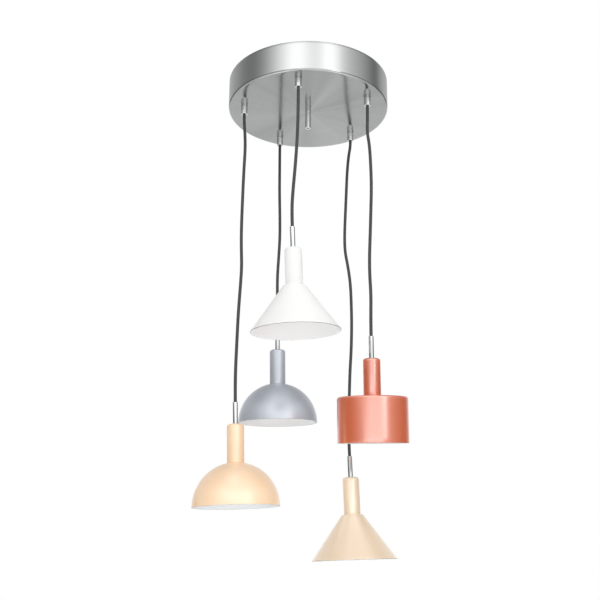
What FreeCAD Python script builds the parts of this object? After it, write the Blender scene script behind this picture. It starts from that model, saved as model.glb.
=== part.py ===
import FreeCAD, Part
import math
import os
from types import SimpleNamespace

import Sketcher

# A cluster ceiling light: a round steel canopy, five textile cords and five pendants with
# shades of three shapes. Millimetres, +Z up. The origin is the centre of the face that
# lies against the ceiling, and everything hangs below it. The first gland is on -Y.
# Each sub-part is drawn with its own Z axis pointing down, so a coordinate along it is a
# depth below the ceiling, or for a pendant's pieces a depth below the top of its cord grip.

doc = FreeCAD.newDocument("ceiling_light")

# Pendants in their order round the canopy, and the shape of each one's shade.
SHADES = (
    ("white", "funnel"), ("peach", "dome"), ("grey", "dome"), ("sand", "funnel"), ("copper", "drum"),
)

# The driving dimensions: name, value and meaning.
SIZES = (
    ("pendants", len(SHADES), "number of pendants round the canopy"),
    ("lead_angle", -90, "where the first gland sits, in degrees from +X"),
    ("running_gap", 0.3, "gap round a piece that moves in another"),
    ("thread_gap", 0.1, "gap between a thread and its hole"),
    ("canopy_radius", 175, "outer radius of the canopy"),
    ("canopy_depth", 66, "ceiling to the underside of the canopy"),
    ("canopy_wall", 1.2, "sheet of the canopy"),
    ("canopy_edge", 4, "outside radius of the canopy's pressed edge"),
    ("gland_inset", 34, "canopy's wall, outside, to the circle that the glands sit on"),
    ("bracket_length", 180, "ceiling strap, end to end"),
    ("bracket_width", 28, "ceiling strap, across"),
    ("bracket_thickness", 2.5, "ceiling strap, sheet"),
    ("bracket_corner", 4, "rounding of the strap's corners"),
    ("slot_spacing", 144, "between the middles of the strap's two screw slots"),
    ("slot_straight", 12, "straight length of a screw slot"),
    ("slot_radius", 2.4, "half the width of a screw slot"),
    ("earth_offset", 40, "earth screw to the middle of the strap"),
    ("earth_radius", 2, "shank of the earth screw"),
    ("earth_recess", 0.5, "earth screw's end below the ceiling"),
    ("earth_head_radius", 3.8, "head of the earth screw"),
    ("earth_head_height", 2.6, "head of the earth screw"),
    ("earth_tag_radius", 4.8, "eye of the earth tag"),
    ("earth_tag_thickness", 0.8, "sheet of the earth tag"),
    ("earth_tag_reach", 17, "eye centre to the tip of the earth tag"),
    ("earth_tag_width", 5, "tongue of the earth tag"),
    ("rod_radius", 4, "threaded rod between strap and post"),
    ("rod_grip", 18, "length of the rod inside the post"),
    ("rod_nut_flats", 13, "lock nut of the rod, across flats"),
    ("rod_nut_height", 4, "lock nut of the rod"),
    ("post_radius", 6.5, "turned post under the canopy's middle"),
    ("post_length", 40, "post, below the canopy"),
    ("post_hole_radius", 3, "hole in the post's lower end"),
    ("post_hole_depth", 12, "hole in the post's lower end"),
    ("post_chamfer", 0.8, "lower edge of the post"),
    ("block_offset", 45, "middle of the terminal block to the rod"),
    ("block_width", 18, "terminal block, along the wires"),
    ("block_height", 16, "terminal block, below the strap"),
    ("block_pitch", 8.2, "one way of the terminal block to the next"),
    ("block_well_radius", 2.3, "screw well of the terminal block"),
    ("block_well_depth", 6, "screw well of the terminal block"),
    ("block_screw_radius", 2, "terminal screw"),
    ("block_screw_height", 3.5, "terminal screw"),
    ("tail_lead", 40, "last run of a cord's tail, up to the terminal block"),
    ("tail_depth", 14, "ceiling to a tail's centre line where it turns inward"),
    ("gland_radius", 7.5, "cord gland, below the canopy"),
    ("gland_length", 19, "cord gland, below the canopy"),
    ("gland_chamfer", 0.8, "lower edge of a cord gland"),
    ("gland_mouth", 0.6, "flare of the gland's bore at its lower face"),
    ("gland_thread_radius", 5, "threaded neck of a cord gland"),
    ("gland_neck", 10, "threaded neck above the canopy's sheet"),
    ("gland_screw_height", 7.6, "set screw above the gland's lower face"),
    ("gland_screw_radius", 1.5, "set screw of a cord gland"),
    ("gland_screw_proud", 0.8, "set screw outside the gland"),
    ("gland_nut_flats", 14, "lock nut of a gland, across flats"),
    ("gland_nut_height", 3, "lock nut of a gland"),
    ("cord_radius", 3.25, "textile cord"),
    ("cord_insert", 6, "cord inside its grip"),
    ("cord_straight", 34, "straight run of the cord above its grip"),
    ("grip_radius", 5, "chromed cord grip"),
    ("grip_length", 43.5, "cord grip above the stem cup"),
    ("grip_chamfer", 0.6, "upper edge of the cord grip"),
    ("grip_bore_depth", 28, "wide bore of the grip, which takes the cord"),
    ("grip_core_radius", 2.2, "narrow bore of the grip, which takes the wires"),
    ("grip_thread_radius", 4, "threaded end of the grip"),
    ("grip_thread_length", 10, "threaded end of the grip"),
    ("stem_radius", 17, "stem cup, outside"),
    ("stem_length", 75, "stem cup, end to end"),
    ("stem_wall", 1.2, "stem cup, sheet"),
    ("stem_edge", 5, "outside radius of the stem cup's top edge"),
    ("shade_wall", 1.2, "shades, sheet"),
    ("funnel_rim_radius", 86.5, "funnel shade at its mouth"),
    ("funnel_height", 89, "funnel shade below the stem cup"),
    ("funnel_top_radius", 21.8, "flat top of the funnel shade"),
    ("dome_radius", 84.5, "dome shade, outside of the ball that it is cut from"),
    ("drum_radius", 68.5, "drum shade, outside"),
    ("drum_height", 87.5, "drum shade below the stem cup"),
    ("drum_edge", 4, "outside radius of the drum's top edge"),
    ("holder_radius", 13, "lampholder body"),
    ("holder_shoulder_radius", 11, "top of the lampholder"),
    ("holder_shoulder_height", 5, "sloping shoulder of the lampholder"),
    ("holder_skirt_radius", 14, "threaded skirt of the lampholder"),
    ("holder_skirt_height", 25, "threaded skirt of the lampholder"),
    ("holder_reach", 9.8, "skirt below the shade's top sheet"),
    ("holder_chamber_radius", 9, "wiring chamber of the lampholder"),
    ("holder_floor", 6, "contact floor of the lampholder"),
    ("ring_lip_radius", 16.4, "upper face of the shade ring"),
    ("ring_radius", 20, "shade ring, outside"),
    ("ring_slope", 3, "sloping part of the shade ring"),
    ("ring_height", 7, "shade ring"),
    ("ring_flutes", 12, "finger notches round the shade ring"),
    ("ring_flute_radius", 1.6, "finger notch of the shade ring"),
    ("cap_radius", 7, "screw cap of the bulb"),
    ("cap_length", 28, "screw cap of the bulb, with its tip"),
    ("cap_tip_radius", 2.5, "contact tip of the bulb"),
    ("cap_tip_height", 1.5, "contact tip of the bulb"),
    ("cap_insulator_height", 3.5, "black glass between tip and thread"),
    ("globe_radius", 22.5, "round glass of the bulb"),
    ("globe_length", 53, "glass of the bulb below the lampholder"),
    ("globe_wall", 1, "glass of the bulb"),
    ("neck_height", 1.8, "straight neck of the bulb's glass"),
    ("neck_share", 0.84, "neck's end above the globe's centre, of the globe's radius"),
    ("arc_share", 0.45, "of its shorter run that each arc of a cord's tube takes up"),
    ("white_side", -8.5, "top of the white pendant's grip from its gland, along X"),
    ("white_back", -8, "the same along Y"),
    ("white_drop", 308.5, "the same downward"),
    ("white_lean", 3.5, "lean of the white pendant, in degrees"),
    ("white_heading", 57, "where its mouth leans to, in degrees from +X"),
    ("peach_side", -2.5, "top of the peach pendant's grip from its gland, along X"),
    ("peach_back", 1, "the same along Y"),
    ("peach_drop", 631.5, "the same downward"),
    ("peach_lean", 2.1, "lean of the peach pendant, in degrees"),
    ("peach_heading", -8, "where its mouth leans to, in degrees from +X"),
    ("grey_side", 1.5, "top of the grey pendant's grip from its gland, along X"),
    ("grey_back", -5.5, "the same along Y"),
    ("grey_drop", 449.5, "the same downward"),
    ("grey_lean", 2.3, "lean of the grey pendant, in degrees"),
    ("grey_heading", 75, "where its mouth leans to, in degrees from +X"),
    ("sand_side", -9, "top of the sand pendant's grip from its gland, along X"),
    ("sand_back", 2, "the same along Y"),
    ("sand_drop", 722.5, "the same downward"),
    ("sand_lean", 2.5, "lean of the sand pendant, in degrees"),
    ("sand_heading", -23, "where its mouth leans to, in degrees from +X"),
    ("copper_side", 0.5, "top of the copper pendant's grip from its gland, along X"),
    ("copper_back", -16, "the same along Y"),
    ("copper_drop", 509.5, "the same downward"),
    ("copper_lean", 6, "lean of the copper pendant, in degrees"),
    ("copper_heading", 92, "where its mouth leans to, in degrees from +X"),
)

# The routes of the hanging cords, chosen by hand: points from the gland's lower face at
# (0, 0, 0), down to the straight run above the grip, whose two points follow from the sheet.
ROUTES = {
    "white": ((0, 0, -40), (-0.5, -1.5, -100), (-3.5, -5, -170), (-8, -8.5, -235)),
    "peach": (
        (0, 0, -18), (3, -0.5, -50), (4.5, -1.5, -85), (2.5, -1, -135), (1, 0.5, -205),
        (0, 1.5, -270), (1.5, 0.5, -315), (3.5, -0.5, -350), (1.5, 0, -395),
        (-1.5, 1, -450), (-3, 2, -510), (-4, 2, -555),
    ),
    "grey": (
        (0, 0, -24), (0.5, -1, -60), (1, -2, -120), (3, -3, -180), (4, -5, -235),
        (2, -7, -285), (0, -8, -325), (0.5, -7.5, -370),
    ),
    "sand": (
        (0, 0, -14), (-4.5, 0, -38), (-8.5, 0.5, -82), (-10.5, -0.5, -130),
        (-13, -2.5, -185), (-15, -4, -235), (-14.5, -3, -272), (-8.5, -0.5, -305),
        (-3.5, 1.5, -345), (-2, 2.5, -390), (-1.5, 2, -440), (-3, 1, -495),
        (-6.5, 1.5, -545), (-8.5, 2.5, -600), (-10.5, 3, -645),
    ),
    "copper": (
        (0, 0, -26), (-1.5, -1, -62), (3, -2, -92), (5, -3.5, -135), (6, -6.5, -190),
        (4, -9.5, -245), (2, -13, -300), (0, -16, -345), (0, -18.5, -385), (2, -19.5, -428),
    ),
}

# The cords' order along the terminal block, from its first way.
WAY_ORDER = ("white", "peach", "copper", "sand", "grey")

# The cords' tails in the canopy: the face of the terminal block that each one comes in at, and
# its middle points in the ceiling light's frame.
TAILS = {
    "white": ("inner", ((-14, -88, -15), (-18, -54, -13))),
    "peach": ("inner", ((-86, -40, -15), (-44, -26, -13))),
    "grey": ("inner", ((-70, 64, -15), (-42, 32, -13))),
    "sand": ("outer", ((101, 70, -15), (110, 45, -13))),
    "copper": ("outer", ()),
}

FULL_TURN = 360
HALF_TURN = FULL_TURN / 2
HEXAGON_SIDES = 6

sheet = doc.addObject("Spreadsheet::Sheet", "Sizes")
for row, (name, value, meaning) in enumerate(SIZES, 1):
    sheet.set(f"A{row}", name)
    sheet.set(f"B{row}", str(value))
    sheet.setAlias(f"B{row}", name)
    sheet.set(f"C{row}", meaning)
doc.recompute()


class Size:
    """A number, together with the sheet expression that gives it."""

    def __init__(self, value, text):
        self.value = value
        self.text = text

    def __add__(self, other):
        other = as_size(other)
        return Size(self.value + other.value, f"({self.text} + {other.text})")

    def __sub__(self, other):
        other = as_size(other)
        return Size(self.value - other.value, f"({self.text} - {other.text})")

    def __mul__(self, other):
        other = as_size(other)
        return Size(self.value * other.value, f"({self.text} * {other.text})")

    def __truediv__(self, other):
        other = as_size(other)
        return Size(self.value / other.value, f"({self.text} / {other.text})")

    def __neg__(self):
        return Size(-self.value, f"(0 - {self.text})")


def as_size(thing):
    return thing if isinstance(thing, Size) else Size(thing, repr(thing))


def root(size):
    return Size(math.sqrt(size.value), f"sqrt({size.text})")


def cosine(degrees):
    return Size(math.cos(math.radians(degrees.value)), f"cos({degrees.text})")


def sine(degrees):
    return Size(math.sin(math.radians(degrees.value)), f"sin({degrees.text})")


ZERO = Size(0, "0")
s = SimpleNamespace(**{name: Size(sheet.get(name), f"Sizes.{name}") for name, _, _ in SIZES})
s.gland_circle = s.canopy_radius - s.gland_inset


def placed(item, base, axis, angle):
    """Binds an item's Placement to its base point and to a turn of angle degrees about axis."""
    where = "; ".join(size.text for size in base)
    about = "; ".join(size.text for size in axis)
    item.setExpression(
        "Placement", f"placement(vector({where}); rotation(vector({about}); {angle.text}))"
    )
    return item


def hung(item, x=ZERO, y=ZERO, turn=ZERO):
    """Hangs an item from the ceiling at x, y: its Z axis points down and its X axis at turn degrees."""
    return placed(item, (x, y, ZERO), (cosine(turn / 2), sine(turn / 2), ZERO), as_size(HALF_TURN))


def gland_angle(index):
    return s.lead_angle - as_size(FULL_TURN * index) / s.pendants


def gland_place(index):
    turn = gland_angle(index)
    return s.gland_circle * cosine(turn), s.gland_circle * sine(turn)


def pendant_axis(color):
    """The lean of a pendant and the direction of the horizontal line that it leans about."""
    lean, heading = getattr(s, f"{color}_lean"), getattr(s, f"{color}_heading")
    return lean, (-sine(heading), cosine(heading), ZERO)


def pendant_top(color, index):
    """The top centre of a pendant's cord grip."""
    x, y = gland_place(index)
    side, back = getattr(s, f"{color}_side"), getattr(s, f"{color}_back")
    exit_depth = s.canopy_depth + s.gland_length
    return x + side, y + back, -(exit_depth + getattr(s, f"{color}_drop"))


def in_pendant(item, color, index):
    """Puts an item in its pendant's frame: the grip's top, with the Z axis along the lean, down."""
    lean, axis = pendant_axis(color)
    return placed(item, pendant_top(color, index), axis, as_size(HALF_TURN) - lean)


def new_body(label):
    body = doc.addObject("PartDesign::Body", label)
    body.Label = label
    body.AllowCompound = True
    return body


def new_sketch(body, name, role, offset=None):
    """A sketch on one of the body's own origin planes, moved along its normal by offset."""
    sketch = body.newObject("Sketcher::SketchObject", name)
    plane = [item for item in body.Origin.OriginFeatures if item.Role == role][0]
    sketch.AttachmentSupport = (plane, [""])
    sketch.MapMode = "FlatFace"
    if offset is not None:
        sketch.setExpression("AttachmentOffset.Base.z", offset.text)
    return sketch


def fix(sketch, geometry, point, kind, size):
    """Ties one coordinate of a point to a size, which may be negative, or to an axis where it is zero."""
    if abs(size.value) < 1e-9:
        axis = -2 if kind == "DistanceX" else -1
        sketch.addConstraint(Sketcher.Constraint("PointOnObject", geometry, point, axis))
        return
    if size.value > 0:
        number = sketch.addConstraint(
            Sketcher.Constraint(kind, -1, 1, geometry, point, size.value)
        )
        sketch.setExpression(f"Constraints[{number}]", size.text)
    else:
        number = sketch.addConstraint(
            Sketcher.Constraint(kind, geometry, point, -1, 1, -size.value)
        )
        sketch.setExpression(f"Constraints[{number}]", f"0 - {size.text}")


def fix_radius(sketch, geometry, size):
    number = sketch.addConstraint(Sketcher.Constraint("Radius", geometry, size.value))
    sketch.setExpression(f"Constraints[{number}]", size.text)


def outline(sketch, corners):
    """A closed loop. A corner is (across, along), or (across, along, radius, side) where an arc
    starts whose centre is on the left, side 1, or on the right, side -1, of the way ahead."""
    points = [FreeCAD.Vector(corner[0].value, corner[1].value, 0) for corner in corners]
    sides = []
    for number, corner in enumerate(corners):
        start = points[number]
        finish = points[(number + 1) % len(points)]
        if len(corner) == 2:
            line = sketch.addGeometry(Part.LineSegment(start, finish), False)
            sides.append((line, 1, 2))
            continue
        radius, side = corner[2].value, corner[3]
        chord = finish - start
        left = FreeCAD.Vector(-chord.y, chord.x, 0).normalize()
        rise = math.sqrt(radius**2 - (chord.Length / 2) ** 2)
        centre = (start + finish) / 2 + left * rise * side
        ends = (start, finish) if side > 0 else (finish, start)
        first, last = (math.atan2(end.y - centre.y, end.x - centre.x) for end in ends)
        circle = Part.Circle(centre, FreeCAD.Vector(0, 0, 1), radius)
        last = last if last > first else last + 2 * math.pi
        arc = sketch.addGeometry(Part.ArcOfCircle(circle, first, last), False)
        fix_radius(sketch, arc, corner[2])
        sides.append((arc, 1, 2) if side > 0 else (arc, 2, 1))
    for number, corner in enumerate(corners):
        geometry, begin, _ = sides[number]
        previous, _, end = sides[number - 1]
        sketch.addConstraint(Sketcher.Constraint("Coincident", previous, end, geometry, begin))
        fix(sketch, geometry, begin, "DistanceX", corner[0])
        fix(sketch, geometry, begin, "DistanceY", corner[1])


def circle(sketch, x, y, radius):
    drawn = Part.Circle(FreeCAD.Vector(x.value, y.value, 0), FreeCAD.Vector(0, 0, 1), radius.value)
    geometry = sketch.addGeometry(drawn, False)
    fix(sketch, geometry, 3, "DistanceX", x)
    fix(sketch, geometry, 3, "DistanceY", y)
    fix_radius(sketch, geometry, radius)


def rectangle(sketch, x_low, x_high, y_low, y_high):
    outline(sketch, ((x_low, y_low), (x_high, y_low), (x_high, y_high), (x_low, y_high)))


def turned(label, corners):
    """A body turned about its Z axis from one outline of (radius, depth) corners."""
    body = new_body(label)
    sketch = new_sketch(body, f"{label}_outline", "XZ_Plane")
    outline(sketch, corners)
    turn = body.newObject("PartDesign::Revolution", f"{label}_turn")
    turn.Profile = sketch
    turn.ReferenceAxis = (sketch, ["V_Axis"])
    turn.Angle = FULL_TURN
    return body


def pad(body, sketch, name, length, reverse=False):
    feature = body.newObject("PartDesign::Pad", name)
    feature.Profile = sketch
    feature.setExpression("Length", length.text)
    feature.Reversed = reverse
    return feature


def pocket(body, sketch, name, length=None, reverse=False):
    """A cut of the given length, or through everything both ways."""
    feature = body.newObject("PartDesign::Pocket", name)
    feature.Profile = sketch
    if length is None:
        feature.Type = "ThroughAll"
        feature.Midplane = True
    else:
        feature.setExpression("Length", length.text)
        feature.Reversed = reverse
    return feature


def repeated(body, features, name, count):
    """Repeats features round the body's Z axis."""
    pattern = body.newObject("PartDesign::PolarPattern", name)
    pattern.Originals = features
    z_axis = [item for item in body.Origin.OriginFeatures if item.Role == "Z_Axis"][0]
    pattern.Axis = (z_axis, [""])
    pattern.Angle = FULL_TURN
    pattern.setExpression("Occurrences", count.text)
    body.Tip = pattern
    return pattern


def rounded(body, name, size, wanted):
    """Rounds those edges of the body's last feature for which wanted(edge) is true."""
    doc.recompute()
    base = body.Tip
    names = [f"Edge{n}" for n, edge in enumerate(base.Shape.Edges, 1) if wanted(edge)]
    feature = body.newObject("PartDesign::Fillet", name)
    feature.Base = (base, names)
    feature.setExpression("Radius", size.text)
    return feature


def ring_edge(radius, depth):
    """A test for the round edge of that radius at that depth."""

    def wanted(edge):
        if not isinstance(edge.Curve, Part.Circle):
            return False
        same_radius = abs(edge.Curve.Radius - radius.value) < 1e-6
        return same_radius and abs(edge.Curve.Center.z - depth.value) < 1e-6

    return wanted


def hexagon(sketch, x, y, flats):
    corner = flats / root(as_size(3))
    turns = [as_size(FULL_TURN * n / HEXAGON_SIDES) for n in range(HEXAGON_SIDES)]
    outline(sketch, [(x + corner * cosine(turn), y + corner * sine(turn)) for turn in turns])


def ceiling_bracket():
    """The strap that is screwed to the ceiling, through one slot at each end."""
    body = new_body("ceiling_bracket")
    half, across = s.bracket_length / 2, s.bracket_width / 2
    sketch = new_sketch(body, "strap_outline", "XY_Plane")
    rectangle(sketch, -half, half, -across, across)
    pad(body, sketch, "strap_sheet", s.bracket_thickness)
    corners = lambda edge: abs(edge.Length - s.bracket_thickness.value) < 1e-6
    rounded(body, "strap_corners", s.bracket_corner, corners)
    middle, straight = s.slot_spacing / 2, s.slot_straight / 2
    slots = new_sketch(body, "slot_outlines", "XY_Plane")
    for side in (-1, 1):
        low, high = middle * side - straight, middle * side + straight
        rectangle(slots, low, high, -s.slot_radius, s.slot_radius)
    pocket(body, slots, "slots")
    ends = new_sketch(body, "hole_circles", "XY_Plane")
    for side in (-1, 1):
        for end in (-1, 1):
            circle(ends, middle * side + straight * end, ZERO, s.slot_radius)
    circle(ends, ZERO, ZERO, s.rod_radius + s.thread_gap)
    circle(ends, -s.earth_offset, ZERO, s.earth_radius + s.thread_gap)
    pocket(body, ends, "holes")
    return hung(body)


def earth_tag():
    """The tinned tag that joins the earth wires to the strap."""
    body = new_body("earth_tag")
    top, half = s.bracket_thickness, s.earth_tag_width / 2
    eye = new_sketch(body, "tag_eye", "XY_Plane", top)
    circle(eye, -s.earth_offset, ZERO, s.earth_tag_radius)
    pad(body, eye, "tag_disc", s.earth_tag_thickness)
    tongue = new_sketch(body, "tag_tongue", "XY_Plane", top)
    rectangle(tongue, -(s.earth_offset + s.earth_tag_reach), -s.earth_offset, -half, half)
    pad(body, tongue, "tag_blade", s.earth_tag_thickness)
    hole = new_sketch(body, "tag_hole", "XY_Plane", top)
    circle(hole, -s.earth_offset, ZERO, s.earth_radius + s.thread_gap)
    pocket(body, hole, "tag_bore")
    return hung(body)


def earth_screw():
    """The screw that holds the earth tag to the strap, head down."""
    head = s.bracket_thickness + s.earth_tag_thickness
    body = turned("earth_screw", (
        (ZERO, s.earth_recess),
        (s.earth_radius, s.earth_recess),
        (s.earth_radius, head),
        (s.earth_head_radius, head),
        (s.earth_head_radius, head + s.earth_head_height),
        (ZERO, head + s.earth_head_height),
    ))
    return hung(body, -s.earth_offset)


def hanger_rod():
    """The threaded rod that carries the canopy: from the strap, through the canopy, into the post."""
    foot = s.canopy_depth + s.rod_grip
    body = turned("hanger_rod", (
        (ZERO, ZERO), (s.rod_radius, ZERO), (s.rod_radius, foot), (ZERO, foot),
    ))
    return hung(body)


def rod_nut():
    """The lock nut of the rod, under the strap."""
    body = new_body("rod_nut")
    sketch = new_sketch(body, "rod_nut_outline", "XY_Plane", s.bracket_thickness)
    hexagon(sketch, ZERO, ZERO, s.rod_nut_flats)
    circle(sketch, ZERO, ZERO, s.rod_radius + s.thread_gap)
    pad(body, sketch, "rod_nut_block", s.rod_nut_height)
    return hung(body)


def canopy_cover():
    """The pressed steel pan, with a hole for the rod and one for each gland's neck."""
    inside = s.canopy_radius - s.canopy_wall
    floor = s.canopy_depth - s.canopy_wall
    body = turned("canopy_cover", (
        (ZERO, floor), (inside, floor), (inside, ZERO), (s.canopy_radius, ZERO),
        (s.canopy_radius, s.canopy_depth), (ZERO, s.canopy_depth),
    ))
    outer = ring_edge(s.canopy_radius, s.canopy_depth)
    rounded(body, "canopy_outer_edge", s.canopy_edge, outer)
    inner = ring_edge(inside, floor)
    rounded(body, "canopy_inner_edge", s.canopy_edge - s.canopy_wall, inner)
    middle = new_sketch(body, "rod_hole_circle", "XY_Plane", s.canopy_depth)
    circle(middle, ZERO, ZERO, s.rod_radius + s.running_gap)
    pocket(body, middle, "rod_hole")
    side = new_sketch(body, "gland_hole_circle", "XY_Plane", s.canopy_depth)
    circle(side, ZERO, s.gland_circle, s.gland_thread_radius + s.thread_gap)
    hole = pocket(body, side, "gland_hole")
    repeated(body, [hole], "gland_holes", s.pendants)
    return hung(body)


def centre_post():
    """The turned post that screws onto the rod and holds the canopy up."""
    top, foot = s.canopy_depth, s.canopy_depth + s.post_length
    bore, hole = s.rod_radius + s.thread_gap, s.post_hole_radius
    bore_end = top + s.rod_grip + s.running_gap
    body = turned("centre_post", (
        (bore, top), (s.post_radius, top), (s.post_radius, foot - s.post_chamfer),
        (s.post_radius - s.post_chamfer, foot), (hole, foot), (hole, foot - s.post_hole_depth),
        (ZERO, foot - s.post_hole_depth), (ZERO, bore_end), (bore, bore_end),
    ))
    return hung(body)


def block_ways():
    """The places of the terminal block's ways along it."""
    middle = (s.pendants - 1) / 2
    return [s.block_pitch * (as_size(n) - middle) for n in range(int(s.pendants.value))]


def terminal_block():
    """The plastic terminal block under the strap, with one screw well for each way."""
    body = new_body("terminal_block")
    low, high = s.block_offset - s.block_width / 2, s.block_offset + s.block_width / 2
    half = s.block_pitch * s.pendants / 2
    sketch = new_sketch(body, "block_outline", "XY_Plane", s.bracket_thickness)
    rectangle(sketch, low, high, -half, half)
    pad(body, sketch, "block_mass", s.block_height)
    wells = new_sketch(body, "well_circles", "XY_Plane", s.bracket_thickness + s.block_height)
    for way in block_ways():
        circle(wells, s.block_offset, way, s.block_well_radius)
    pocket(body, wells, "wells", s.block_well_depth)
    return hung(body)


def terminal_screws():
    """The clamp screws at the bottom of the terminal block's wells."""
    body = new_body("terminal_screws")
    seat = s.bracket_thickness + s.block_height - s.block_well_depth
    sketch = new_sketch(body, "screw_circles", "XY_Plane", seat)
    for way in block_ways():
        circle(sketch, s.block_offset, way, s.block_screw_radius)
    pad(body, sketch, "screw_heads", s.block_screw_height)
    return hung(body)


def gland_nuts():
    """The lock nuts of the five glands, inside the canopy."""
    body = new_body("gland_nuts")
    seat = s.canopy_depth - s.canopy_wall - s.gland_nut_height
    sketch = new_sketch(body, "gland_nut_outline", "XY_Plane", seat)
    hexagon(sketch, ZERO, s.gland_circle, s.gland_nut_flats)
    circle(sketch, ZERO, s.gland_circle, s.gland_thread_radius + s.thread_gap)
    nut = pad(body, sketch, "gland_nut", s.gland_nut_height)
    repeated(body, [nut], "gland_nut_ring", s.pendants)
    return hung(body)


def gland_screws():
    """The set screws of the five glands, each pointing away from the canopy's middle."""
    body = new_body("gland_screws")
    depth = s.canopy_depth + s.gland_length - s.gland_screw_height
    tip = s.gland_circle + s.cord_radius + s.running_gap
    sketch = new_sketch(body, "gland_screw_circle", "XZ_Plane", -tip)
    circle(sketch, ZERO, depth, s.gland_screw_radius)
    reach = s.gland_radius + s.gland_screw_proud - s.cord_radius - s.running_gap
    screw = pad(body, sketch, "gland_screw", reach, True)
    repeated(body, [screw], "gland_screw_ring", s.pendants)
    return hung(body)


def gland(color, index):
    """A turned cord gland, with a threaded neck up through the canopy and a hole for its set screw."""
    label = f"gland_{color}"
    bore = s.cord_radius + s.running_gap
    seat, foot = s.canopy_depth, s.canopy_depth + s.gland_length
    top = seat - s.canopy_wall - s.gland_neck
    body = turned(label, (
        (bore, top), (s.gland_thread_radius, top), (s.gland_thread_radius, seat),
        (s.gland_radius, seat), (s.gland_radius, foot - s.gland_chamfer),
        (s.gland_radius - s.gland_chamfer, foot), (bore + s.gland_mouth, foot),
        (bore, foot - s.gland_mouth),
    ))
    hole = new_sketch(body, f"{label}_hole_circle", "YZ_Plane")
    circle(hole, ZERO, foot - s.gland_screw_height, s.gland_screw_radius + s.thread_gap)
    pocket(body, hole, f"{label}_hole", s.gland_radius + s.gland_chamfer, True)
    x, y = gland_place(index)
    return hung(body, x, y, gland_angle(index))


def cord_grip(color, index):
    """The chromed tube on the cord's end: a wide bore for the cord, a narrow one for its wires."""
    bore, thread = s.cord_radius + s.running_gap, s.grip_thread_radius
    foot = s.grip_length + s.grip_thread_length
    body = turned(f"cord_grip_{color}", (
        (bore, ZERO), (s.grip_radius - s.grip_chamfer, ZERO), (s.grip_radius, s.grip_chamfer),
        (s.grip_radius, s.grip_length), (thread, s.grip_length), (thread, foot),
        (s.grip_core_radius, foot), (s.grip_core_radius, s.grip_bore_depth),
        (bore, s.grip_bore_depth),
    ))
    return in_pendant(body, color, index)


def stem_cup(color, index):
    """The long painted cup that hides the lampholder, clamped between the grip and the shade."""
    top, foot = s.grip_length, s.grip_length + s.stem_length
    inside, hole = s.stem_radius - s.stem_wall, s.grip_thread_radius + s.thread_gap
    body = turned(f"stem_cup_{color}", (
        (hole, top), (s.stem_radius, top), (s.stem_radius, foot), (inside, foot),
        (inside, top + s.stem_wall), (hole, top + s.stem_wall),
    ))
    rounded(body, f"stem_{color}_edge", s.stem_edge, ring_edge(s.stem_radius, top))
    inner = ring_edge(inside, top + s.stem_wall)
    rounded(body, f"stem_{color}_inner_edge", s.stem_edge - s.stem_wall, inner)
    return in_pendant(body, color, index)


def shade_top():
    return s.grip_length + s.stem_length


def shade_hole():
    return s.holder_skirt_radius + s.thread_gap


def funnel_corners():
    """A cone under a small flat top. The inner line is the outer one moved in by the sheet."""
    top = shade_top()
    foot, under = top + s.funnel_height, top + s.shade_wall
    slope = (s.funnel_rim_radius - s.funnel_top_radius) / s.funnel_height
    shift = s.shade_wall * root(slope * slope + 1)
    inner_top = s.funnel_top_radius + slope * s.shade_wall - shift
    return (
        (shade_hole(), top), (s.funnel_top_radius, top), (s.funnel_rim_radius, foot),
        (s.funnel_rim_radius - shift, foot), (inner_top, under), (shade_hole(), under),
    )


def dome_height():
    """From the stem cup's foot, where the ball is as wide as the stem, to the ball's equator."""
    return root(s.dome_radius * s.dome_radius - s.stem_radius * s.stem_radius)


def dome_corners():
    """Half a ball, cut flat under the stem cup. Both arcs have the ball's centre."""
    top, height = shade_top(), dome_height()
    foot, under = top + height, top + s.shade_wall
    inner = s.dome_radius - s.shade_wall
    inner_height = height - s.shade_wall
    inner_top = root(inner * inner - inner_height * inner_height)
    return (
        (shade_hole(), top), (s.stem_radius, top, s.dome_radius, 1), (s.dome_radius, foot),
        (inner, foot, inner, -1), (inner_top, under), (shade_hole(), under),
    )


def drum_corners():
    """A straight wall under a flat top."""
    top = shade_top()
    foot, under = top + s.drum_height, top + s.shade_wall
    inside = s.drum_radius - s.shade_wall
    return (
        (shade_hole(), top), (s.drum_radius, top), (s.drum_radius, foot), (inside, foot),
        (inside, under), (shade_hole(), under),
    )


def shade(color, kind, index):
    """The spun and painted shade, whose top hole takes the lampholder's skirt."""
    outlines = {"funnel": funnel_corners, "dome": dome_corners, "drum": drum_corners}
    body = turned(f"shade_{color}", outlines[kind]())
    if kind == "drum":
        top = shade_top()
        rounded(body, "drum_outer_edge", s.drum_edge, ring_edge(s.drum_radius, top))
        inner = ring_edge(s.drum_radius - s.shade_wall, top + s.shade_wall)
        rounded(body, "drum_inner_edge", s.drum_edge - s.shade_wall, inner)
    return in_pendant(body, color, index)


def holder_top():
    return s.grip_length + s.stem_wall


def holder_foot():
    return shade_top() + s.shade_wall + s.holder_reach


def socket_floor():
    """The depth of the lampholder's contact floor, where the bulb's tip stops."""
    return holder_foot() - s.cap_length - s.running_gap


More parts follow.
